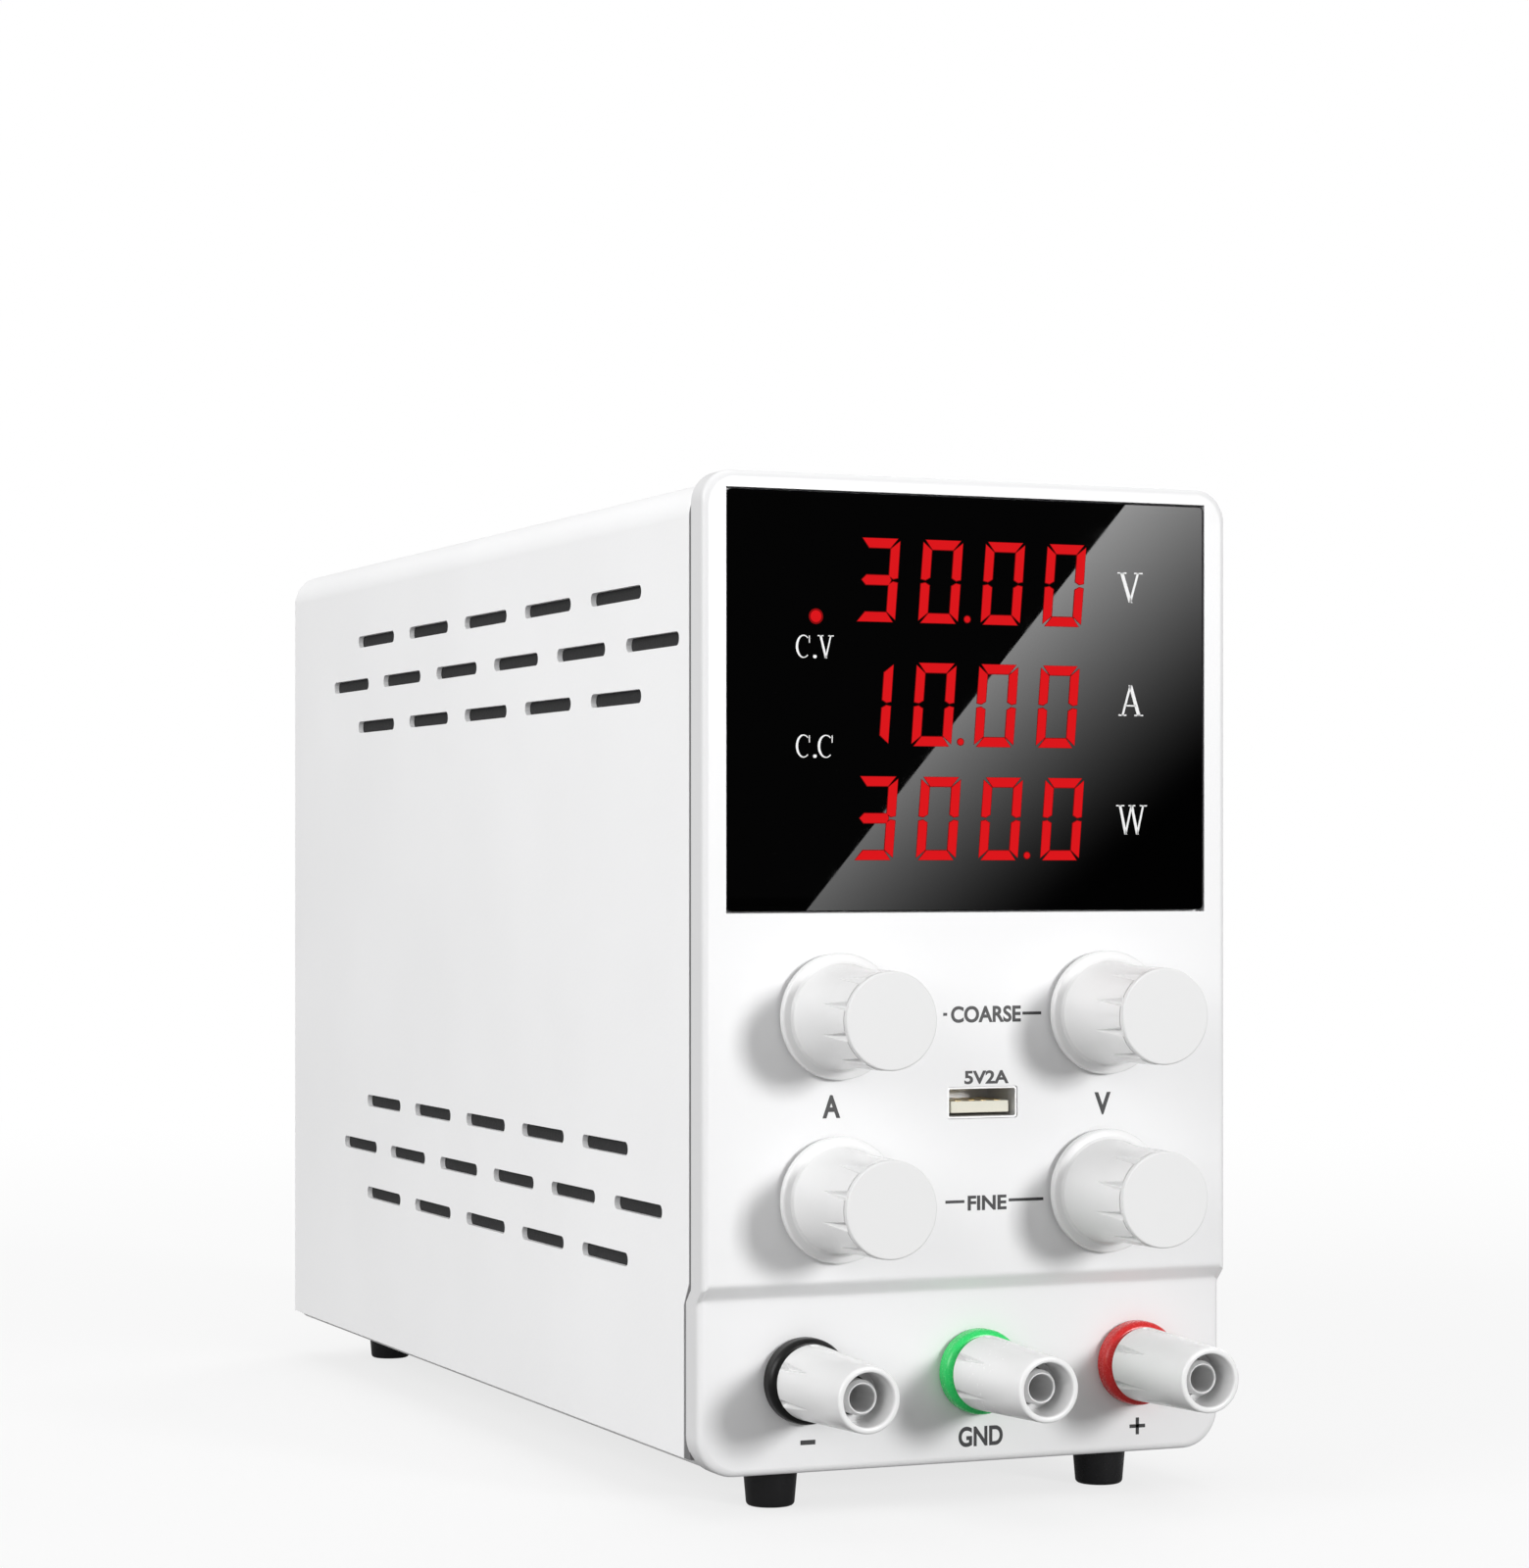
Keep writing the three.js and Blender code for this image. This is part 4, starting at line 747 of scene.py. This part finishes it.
def build_knobs():
    for name in CONTROLS:
        low, high = span(f"{name}_knob")
        at = axis_of(f"{name}_knob")
        body = f"{name}_control"
        line = knob_line(low.y, high.y, (high.x - low.x) / 2, size(f"{name}_knob_cap").x / 2)
        flutes = wedge_relief(10, low.y, low.y + 8.6, 1.3, 0.85, plain_radius=7)
        finish_piece(turned(line, at, 320, relief=flutes), f"{name}_knob_body", KNOB_PLASTIC,
                     f"{name}_knob", body=body)
        face = span(f"{name}_knob_cap")[0].y
        grip = size(f"{name}_knob_cap").x / 2
        plug, plug_end = 5.5, face + 2.6
        cap = rounded([(0, face, 0), (grip, face, 0.3), (grip, face + 1, 0.1), (plug, face + 1, 0),
                       (plug, plug_end, 0), (0, plug_end, 0)], False, 5)
        finish_piece(turned(cap, at, 128), f"{name}_cap_disc", CAP_PLASTIC,
                     f"{name}_knob_cap", body=body)


# ----- binding posts -----
def build_posts():
    for name, (slot, colour) in COLLARS.items():
        at = axis_of(f"{name}_post_collar")
        low, high = span(f"{name}_post_collar")
        ring = (high.x - low.x) / 2
        washer_room, washer_seat = 4.7, low.y + 1.4
        neck, neck_start = 4.6, STEP_BACK - 0.3
        profile = rounded([
            (POST_BORE, washer_seat, 0), (washer_room, washer_seat, 0), (washer_room, low.y, 0.2),
            (ring, low.y, 1.1), (ring, neck_start, 0.2), (neck, neck_start, 0), (neck, high.y, 0),
            (POST_BORE, high.y, 0)], True, 6)
        finish_piece(turned(profile, at, 128, closed=True), f"{name}_collar_ring", colour,
                     f"{name}_post_collar")
        build_thumb_nut(name, at)
        build_stud(name, at)
        build_washer(name, at)


def build_thumb_nut(name, at):
    low, high = span(f"{name}_thumb_nut")
    base = size(f"{name}_thumb_nut").x / 2
    tip = 5.25
    mouth = 4.2
    mouth_end = low.y + 7
    inside = [(POST_BORE, high.y), (POST_BORE, mouth_end), (mouth, mouth_end), (mouth, low.y + 0.6)]
    flank_start, flank_end = low.y + 1.2, high.y - 0.4
    root = tip + 0.05
    rim = rounded([(mouth, low.y + 0.6, 0), (mouth + 0.15, low.y, 0.3), (tip, low.y, 0.45),
                   (root, flank_start, 0)], False, 6)[1:]
    rows = 40
    flank = [(root + (base - root) * step / rows, flank_start + (flank_end - flank_start) * step / rows)
             for step in range(1, rows + 1)]
    profile = inside + rim + flank + [(base - 0.3, high.y)]
    flutes = wedge_relief(6, high.y - 0.7, high.y - 10, 1.35, 0.85, plain_radius=4.9)
    solid = turned(profile, at, 288, closed=True, relief=flutes)
    finish_piece(solid, f"{name}_nut_body", KNOB_PLASTIC, f"{name}_thumb_nut",
                 body=f"{name}_clamp_nut")


def build_stud(name, at):
    """The socket stud, with the hole that takes a bare wire under the nut."""
    low, high = span(f"{name}_post_stud")
    outer, inner = 2.8, 2.1
    socket_end = low.y + 16
    profile = rounded([
        (0, socket_end, 0), (inner, socket_end, 0), (inner, low.y + 0.25, 0.2), (outer - 0.45, low.y, 0.1),
        (outer, low.y + 0.9, 0.2), (outer, high.y, 0.3), (0, high.y, 0)], False, 5)
    wire_hole_y = span(f"{name}_thumb_nut")[1].y - 2.2
    wire_hole = spun(rod(1.1, -5, 5, sides=24), 90, "Z")
    tube = carved(turned(profile, at, 96), shifted(wire_hole, (at[0], wire_hole_y, at[1])))
    finish_piece(tube, f"{name}_stud_tube", SOCKET, f"{name}_post_stud")


def build_washer(name, at):
    low, high = span(f"{name}_post_washer")
    outer = 4.4
    ring = rounded([(POST_BORE, low.y, 0), (outer, low.y, 0.15), (outer, high.y, 0.15),
                    (POST_BORE, high.y, 0)], True, 3)
    finish_piece(turned(ring, at, 64, closed=True), f"{name}_washer_ring", NICKEL,
                 f"{name}_post_washer", body=f"{name}_clamp_washer")


# ----- USB outlet -----
def build_usb():
    low, high = span("usb_socket")
    middle = centre("usb_socket")
    collar = 0.3  # the shell's mouth narrows by this much to stand in the panel's opening
    inset = collar + 0.32
    shell = plate(low.x, low.z, high.x, high.z, 0.7, low.y, high.y)
    mouth = plate(low.x + collar, low.z + collar, high.x - collar, high.z - collar, 0.4, 0.2, low.y + 0.2)
    inner = plate(low.x + inset, low.z + inset, high.x - inset, high.z - inset, 0.2, IN_FRONT, high.y - 1.5)
    finish_piece(carved(merged(shell, mouth), inner), "usb_shell", SOCKET, "usb_socket",
                 edge=0.06)
    tongue = plate(middle.x - 5.2, middle.z - 1.7, middle.x + 5.2, middle.z + 0.2, 0.15, 1.1, high.y - 1)
    finish_piece(tongue, "usb_tongue", TONGUE, edge=0.12)
    contacts = []
    for x in (-3.5, -1.0, 1.0, 3.5):
        contacts.append(block((middle.x + x - 0.5, 2.0, middle.z + 0.19),
                              (middle.x + x + 0.5, high.y - 3, middle.z + 0.3)))
    finish_piece(merged(*contacts), "usb_contacts", GOLD, edge=0.03)


# ----- cover, base and feet -----
def cover_band(low, half, top, radius):
    """The outline of the folded cover as one closed line, outer side first."""
    steps = 14
    outer = [(half, low, 0), (half, top, radius), (-half, top, radius), (-half, low, 0)]
    h, t, r = half - COVER_SHEET, top - COVER_SHEET, radius - COVER_SHEET
    inner = [(-h, low, 0), (-h, t, r), (h, t, r), (h, low, 0)]
    return rounded(outer, False, steps) + rounded(inner, False, steps)


# each group's top row height, pitch between rows, pitch between slots, slot length
SLOT_GROUPS = ((142.4, 8.6, 34.0, 24.0), (50.2, 9.2, 31.4, 22.0))
SLOT_ROWS = (5, 6, 5)
SLOT_MIDDLE = 108.5
SLOT_HEIGHT = 2.3


def slot_outlines():
    """Every vent slot of one side, as outlines in y and z."""
    half_height = SLOT_HEIGHT / 2
    end_radius = half_height * 0.98
    for top, row_pitch, pitch, length in SLOT_GROUPS:
        for row, count in enumerate(SLOT_ROWS):
            z = top - row * row_pitch
            for index in range(count):
                y = SLOT_MIDDLE + (index - (count - 1) / 2) * pitch
                left, right = y - length / 2, y + length / 2
                yield rectangle(left, z - half_height, right, z + half_height, end_radius, 5)


def build_cover():
    low, high = span("case_cover")
    front = low.y + SEAM_OPENING
    shell = slab(cover_band(low.z, high.x, high.z, COVER_CORNER), front, high.y)
    before = low.y - 1
    step = across([(before, STEP_CREST), *step_line(front), (before, BELOW)])
    slots = [across(outline) for outline in slot_outlines()]
    bm = carved(shell, step, *slots)
    finish_piece(bm, "cover_sheet", CASE_PAINT, "case_cover", edge=0.18)


def build_slot_shade_sheets():
    """A dark sheet behind the slots of each side, painted shade standing in for the shadowed inside of the
    case, so that the case looks closed.
    """
    inner_face = span("case_cover")[1].x - COVER_SHEET
    near, far = inner_face - 0.02, inner_face - 0.27
    for side, name in ((-1, "left_painted_slot_shade"), (1, "right_painted_slot_shade")):
        left, right = sorted((side * near, side * far))
        sheets = []
        for top, row_pitch, pitch, length in SLOT_GROUPS:
            reach = (max(SLOT_ROWS) - 1) / 2 * pitch + length / 2 + 3
            low = top - (len(SLOT_ROWS) - 1) * row_pitch - 4
            sheets.append(block((left, SLOT_MIDDLE - reach, low), (right, SLOT_MIDDLE + reach, top + 4)))
        finish_piece(merged(*sheets), name, PAINTED_SLOT_SHADE)


def build_feet():
    """Each foot is a tapered pad with a stem pushed through the tray."""
    stem, barb = 1.8, 2.8
    pad_top, tray_top = 0.7, 2.5
    for corner in ("front_left", "front_right", "rear_left", "rear_right"):
        name = f"{corner}_foot"
        low, high = span(name)
        middle = centre(name)
        top = (high.x - low.x) / 2
        line = rounded([(0, low.z, 0), (top * 0.86, low.z, 0.7), (top, pad_top, 0.15), (stem, pad_top, 0),
                        (stem, tray_top, 0), (barb, tray_top, 0.2), (1.6, high.z, 0.4),
                        (0, high.z, 0)], False, 6)
        solid = shifted(spun(turned(line, (0, 0), 96), 90, "X"), (middle.x, middle.y, 0))
        finish_piece(solid, f"{corner}_foot_pad", RUBBER, name)


# ----- parts behind -----
def oval(radius, y, half_width, half_depth):
    """The (radius, y) section of a wire ring or an eye."""
    angles = [FULL_TURN * index / 12 for index in range(12)]
    return [(radius + half_width * cos(angle), y + half_depth * sin(angle)) for angle in angles]


def build_fan():
    at = axis_of("fan_rotor")
    low, high = span("fan_guard")
    wire = 0.8
    wire_y = high.y - wire
    screw_reach = 25
    rings = [turned(oval(radius, wire_y, wire, wire), at, 96, closed=True)
             for radius in (11, 17.2, 23.6, 30)]
    finish_piece(merged(*rings), "guard_rings", STEEL, "fan_guard")
    reach = screw_reach * sqrt(2)
    bars = []
    for angle in (45, 135):
        bar = spun(spun(rod(wire, -reach, reach, sides=24), 90, "X"), angle, "Y")
        bars.append(shifted(bar, (at[0], wire_y - 1.3, at[1])))
    for x in (-screw_reach, screw_reach):
        for z in (-screw_reach, screw_reach):
            eye = oval(2.95, low.y + 0.5, 0.85, 0.5)
            bars.append(turned(eye, (at[0] + x, at[1] + z), 48, closed=True))
    finish_piece(merged(*bars), "guard_bars", STEEL)
    build_rotor(at)
    for corner in ("upper_left", "upper_right", "lower_left", "lower_right"):
        build_fan_screw(f"{corner}_fan_screw")


def build_rotor(at):
    low, high = span("fan_rotor")
    front, back = low.y + 3.3, high.y
    hub = 12.5
    blades = 7
    line = rounded([(0, front, 0), (hub, front, 0.5), (hub, back, 1.4), (0, back, 0)], False, 6)
    parts = [turned(line, at, 96)]
    for index in range(blades):
        parts.append(fan_blade(at, front + 1, back - 1.2, 360 * index / blades))
    parts.append(rod(1.5, low.y, front + 0.2, at, 24))
    finish_piece(merged(*parts), "rotor_blades", BLACK_PLASTIC, "fan_rotor",
                 body="fan_rotor")


def fan_blade(at, front, back, turn):
    """A curved blade lofted from the hub outwards, thicker at its root."""
    bm = bmesh.new()
    root, tip = 12.0, 27.3
    middle_y = (front + back) / 2
    rows, chord_steps = 8, 8
    stations = []
    for row in range(rows + 1):
        share = row / rows
        radius = root + (tip - root) * share
        pitch = radians(52 - 20 * share)
        chord = 14.5 + 3.5 * share
        sweep = 0.18 * share
        loop = []
        for side in (1, -1):
            for step in range(chord_steps + 1):
                u = side * (step / chord_steps - 0.5)
                camber = 1.6 * (1 - 4 * u * u)
                thick = (0.75 - 0.3 * share) * sqrt(max(0.02, 1 - 4 * u * u * 0.92))
                along = u * chord
                over = camber + side * thick
                y = middle_y + along * sin(pitch) * 0.92 + over * cos(pitch)
                y = min(max(y, front), back)
                arc = (along * cos(pitch) - over * sin(pitch)) / radius + sweep
                loop.append(bm.verts.new((radius * sin(arc), y, radius * cos(arc))))
        stations.append(loop)
    for near, far in zip(stations, stations[1:]):
        bridge(bm, near, far)
    bm.faces.new(stations[0])
    bm.faces.new(stations[-1][::-1])
    face_outwards(bm)
    return shifted(spun(bm, turn, "Y"), (at[0], 0, at[1]))


def build_fan_screw(name):
    low, high = span(name)
    at = axis_of(name)
    head = (high.x - low.x) / 2
    thread = 1.7
    seat = high.y - 1.8
    line = rounded([(0, low.y, 0), (thread, low.y, 0.4), (thread, seat, 0), (head, seat, 0.15),
                    (head, seat + 0.9, 0.6), (head * 0.62, high.y, 0.5), (0, high.y, 0)], False, 5)
    arms = []
    for angle in (45, 135):
        arm = block((-0.42, high.y - 1.1, -1.75), (0.42, high.y + 1, 1.75))
        arms.append(shifted(spun(arm, angle, "Y"), (at[0], 0, at[1])))
    finish_piece(carved(turned(line, at, 64), *arms), f"{name}_head", STEEL, name)


def build_inlet_pins():
    back = span("mains_inlet")[1].y
    middle = centre("mains_inlet")
    half_width, half_height = 1.06, 2.06
    pins = []
    for x, z in ((-7, 3), (0, 7), (7, 3)):
        pins.append(block((middle.x + x - half_width, back - 17.2, middle.z + z - half_height),
                          (middle.x + x + half_width, back - 2.44, middle.z + z + half_height)))
    finish_piece(merged(*pins), "mains_inlet_pins", NICKEL, edge=0.3)


# ----- CAD pieces that keep their shape -----
# each one's material and the width of its eased edges
KEPT = {
    "base_chassis": (CASE_PAINT, 0.25), "rear_panel": (CASE_PAINT, 0.15),
    "control_board": (BOARD, 0.1), "led_digit_module": (MODULE, 0.3),
    "constant_voltage_led": (RED_PLASTIC, 0), "constant_current_led": (RED_PLASTIC, 0),
    "main_board": (BOARD, 0.1), "heatsink": (ALUMINIUM, 0.15), "transformer": (FERRITE, 0.4),
    "front_bulk_capacitor": (SLEEVE, 0), "rear_bulk_capacitor": (SLEEVE, 0),
    "fan_frame": (BLACK_PLASTIC, 0.3), "mains_inlet": (BLACK_PLASTIC, 0.3),
    "fuse_drawer": (BLACK_PLASTIC, 0.2),
    "power_switch_body": (BLACK_PLASTIC, 0.3), "power_switch_rocker": (BLACK_PLASTIC, 0.4),
    "voltage_selector_body": (BLACK_PLASTIC, 0.3), "voltage_selector_key": (RED_PLASTIC, 0.2),
}


def dress_cad_pieces():
    dressed = dict(KEPT)
    for name in CONTROLS:
        dressed[f"{name}_shaft"] = (ALUMINIUM, 0)
        dressed[f"{name}_potentiometer"] = (STEEL, 0.3)
    for name, (material, edge) in dressed.items():
        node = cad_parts[name]
        node.data.materials.clear()
        node.data.materials.append(material)
        weld = node.modifiers.new("weld", "WELD")
        weld.merge_threshold = 1e-6
        if edge:
            soften(node, edge)


# ----- stage, lights and camera -----
CAMERA_AT = Vector((-275.9, -571.6, 97.3))
CARD_LIGHT = 490.0
SHEEN_LEVEL, SHEEN_X, SHEEN_Z = 0.545, 30, 156.5  # the sheen's level at this point of the window
SHEEN_PER_X, SHEEN_PER_Z = -0.00784, 0.0096  # and its change per millimetre


def floor_material():
    """Matt near the object and melting into the white of the world further out."""
    made, nodes, links = node_tree("pale_floor")
    output = nodes.new("ShaderNodeOutputMaterial")
    matt = nodes.new("ShaderNodeBsdfDiffuse")
    matt.inputs["Color"].default_value = (0.8, 0.8, 0.8, 1)
    far = nodes.new("ShaderNodeEmission")
    far.inputs["Color"].default_value = (1, 1, 1, 1)
    where = nodes.new("ShaderNodeTexCoord")
    length = nodes.new("ShaderNodeVectorMath")
    length.operation = "LENGTH"
    links.new(where.outputs["Object"], length.inputs[0])
    fade = nodes.new("ShaderNodeMapRange")
    fade.interpolation_type = "SMOOTHSTEP"
    set_inputs(fade, {"From Min": 0.1, "From Max": 0.9, "To Min": 0.75})
    links.new(length.outputs["Value"], fade.inputs["Value"])
    mix = nodes.new("ShaderNodeMixShader")
    links.new(fade.outputs["Result"], mix.inputs["Fac"])
    links.new(matt.outputs["BSDF"], mix.inputs[1])
    links.new(far.outputs["Emission"], mix.inputs[2])
    links.new(mix.outputs["Shader"], output.inputs["Surface"])
    path = nodes.new("ShaderNodeLightPath")
    glow = nodes.new("ShaderNodeMapRange")
    glow.inputs["To Min"].default_value = 0.1
    links.new(path.outputs["Is Camera Ray"], glow.inputs["Value"])
    links.new(glow.outputs["Result"], far.inputs["Strength"])
    return made


def build_floor():
    bm = bmesh.new()
    bmesh.ops.create_circle(bm, cap_ends=True, segments=128, radius=12)
    mesh = mesh_of(bm, "floor")
    mesh.materials.append(floor_material())
    floor = placed("floor", mesh)
    floor.location.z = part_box("front_left_foot")[0].z


def build_world():
    world = bpy.data.worlds.new("studio")
    world.use_nodes = True
    nodes, links = world.node_tree.nodes, world.node_tree.links
    nodes.clear()
    output = nodes.new("ShaderNodeOutputWorld")
    ambient = nodes.new("ShaderNodeBackground")
    set_inputs(ambient, {"Color": (1, 1, 1, 1), "Strength": 0.46})
    seen = nodes.new("ShaderNodeBackground")
    seen.inputs["Color"].default_value = (1, 1, 1, 1)
    path = nodes.new("ShaderNodeLightPath")
    mix = nodes.new("ShaderNodeMixShader")
    links.new(path.outputs["Is Camera Ray"], mix.inputs["Fac"])
    links.new(ambient.outputs["Background"], mix.inputs[1])
    links.new(seen.outputs["Background"], mix.inputs[2])
    links.new(mix.outputs["Shader"], output.inputs["Surface"])
    bpy.context.scene.world = world


def area_light(name, place, width, height, power):
    """A lamp in frame metres, turned to the object's middle."""
    data = bpy.data.lights.new(name, "AREA")
    data.shape = "RECTANGLE"
    data.size = width
    data.size_y = height
    data.energy = power
    lamp = placed(name, data)
    lamp.location = Vector(place)
    lamp.rotation_euler = (Vector((0, 0, 0.09)) - lamp.location).to_track_quat("-Z", "Y").to_euler()
    return lamp


def linked(light, name, pieces, state):
    """Lets a light reach only the named pieces, or all but them."""
    group = bpy.data.collections.new(name)
    for piece in pieces:
        group.objects.link(bpy.context.scene.objects[piece])
    for member in group.collection_objects:
        member.light_linking.link_state = state
    light.light_linking.receiver_collection = group


def build_lights():
    beside = (-1.0, -0.32, 0.5)
    key = area_light("key", (0.6, -1.65, 0.38), 0.28, 0.28, 16)
    linked(key, "spared_by_key", ["display_pane"], "EXCLUDE")
    area_light("side", beside, 0.8, 0.6, 6.8)
    case_side = area_light("case_side", beside, 0.8, 0.6, 5.2)
    linked(case_side, "case_sides", ["cover_sheet", "base_chassis"], "INCLUDE")
    area_light("top", (0.1, 0.3, 1.6), 1.0, 1.0, 4.4)
    area_light("back", (1.2, 1.1, 0.8), 1.0, 0.8, 10)


def card_material():
    """A glow that is strongest at the card's upper left end and fades right and down."""
    made, nodes, links = node_tree("card_light")
    output = nodes.new("ShaderNodeOutputMaterial")
    shine = nodes.new("ShaderNodeEmission")
    where = nodes.new("ShaderNodeTexCoord")
    split = nodes.new("ShaderNodeSeparateXYZ")
    links.new(where.outputs["Object"], split.inputs["Vector"])

    def math_node(operation, first, second, third=0.0):
        node = nodes.new("ShaderNodeMath")
        node.operation = operation
        for socket, value in zip(node.inputs, (first, second, third)):
            if isinstance(value, float):
                socket.default_value = value
            else:
                links.new(value, socket)
        return node.outputs["Value"]

    # the window point that mirrors a card point lies halfway between it and the camera
    window_x = math_node("MULTIPLY_ADD", split.outputs["X"], 0.5 / MM, (CAMERA_AT.x - ORIGIN.x / MM) / 2)
    window_z = math_node("MULTIPLY_ADD", split.outputs["Z"], 0.5 / MM, (CAMERA_AT.z - ORIGIN.z / MM) / 2)
    by_x = math_node("MULTIPLY_ADD", window_x, SHEEN_PER_X, SHEEN_LEVEL - SHEEN_PER_X * SHEEN_X)
    by_z = math_node("MULTIPLY_ADD", window_z, SHEEN_PER_Z, -SHEEN_PER_Z * SHEEN_Z)
    level = math_node("MAXIMUM", math_node("ADD", by_x, by_z), 0.0)
    strength = math_node("MULTIPLY", math_node("POWER", level, 2.2), CARD_LIGHT)
    links.new(strength, shine.inputs["Strength"])
    links.new(shine.outputs["Emission"], output.inputs["Surface"])
    return made


def build_window_reflection():
    """A dim studio card that only the display window mirrors: its edge gives the slanted sheen."""
    image = Vector((CAMERA_AT.x, 2 * WINDOW_FACE - CAMERA_AT.y, CAMERA_AT.z))

    def beyond(x, z):
        """The point level with the camera that it sees mirrored at (x, z) of the window."""
        toward = Vector((x, WINDOW_FACE, z)) - image
        return image + toward * ((CAMERA_AT.y - image.y) / toward.y)

    top, foot, right = 163.0, 84.7, 80
    corners = [beyond(33.5, top), beyond(right, top), beyond(right, foot), beyond(-33.8, foot)]
    mesh = bpy.data.meshes.new("window_card")
    mesh.from_pydata([ORIGIN + corner * MM for corner in corners], [], [(0, 1, 2, 3)])
    mesh.materials.append(card_material())
    card = placed("window_card", mesh)
    card.visible_camera = False
    card.visible_diffuse = False
    card.visible_shadow = False
    card.visible_transmission = False
    linked(card, "window_card_receivers", ["display_pane"], "INCLUDE")


def build_camera():
    data = bpy.data.cameras.new("camera")
    data.lens = 89.64
    data.sensor_width = 36
    data.shift_y = 0.052
    data.clip_start = 0.01
    camera = placed("camera", data)
    camera.location = ORIGIN + CAMERA_AT * MM
    camera.rotation_euler = (radians(90), 0, radians(-22.73))
    bpy.context.scene.camera = camera


build_front_panel()
build_seam_lip()
build_display()
build_labels()
build_knobs()
build_posts()
build_usb()
build_cover()
build_slot_shade_sheets()
build_feet()
build_fan()
build_inlet_pins()
dress_cad_pieces()
build_floor()
build_world()
build_lights()
build_camera()
build_window_reflection()
bpy.context.scene.view_settings.view_transform = "Standard"
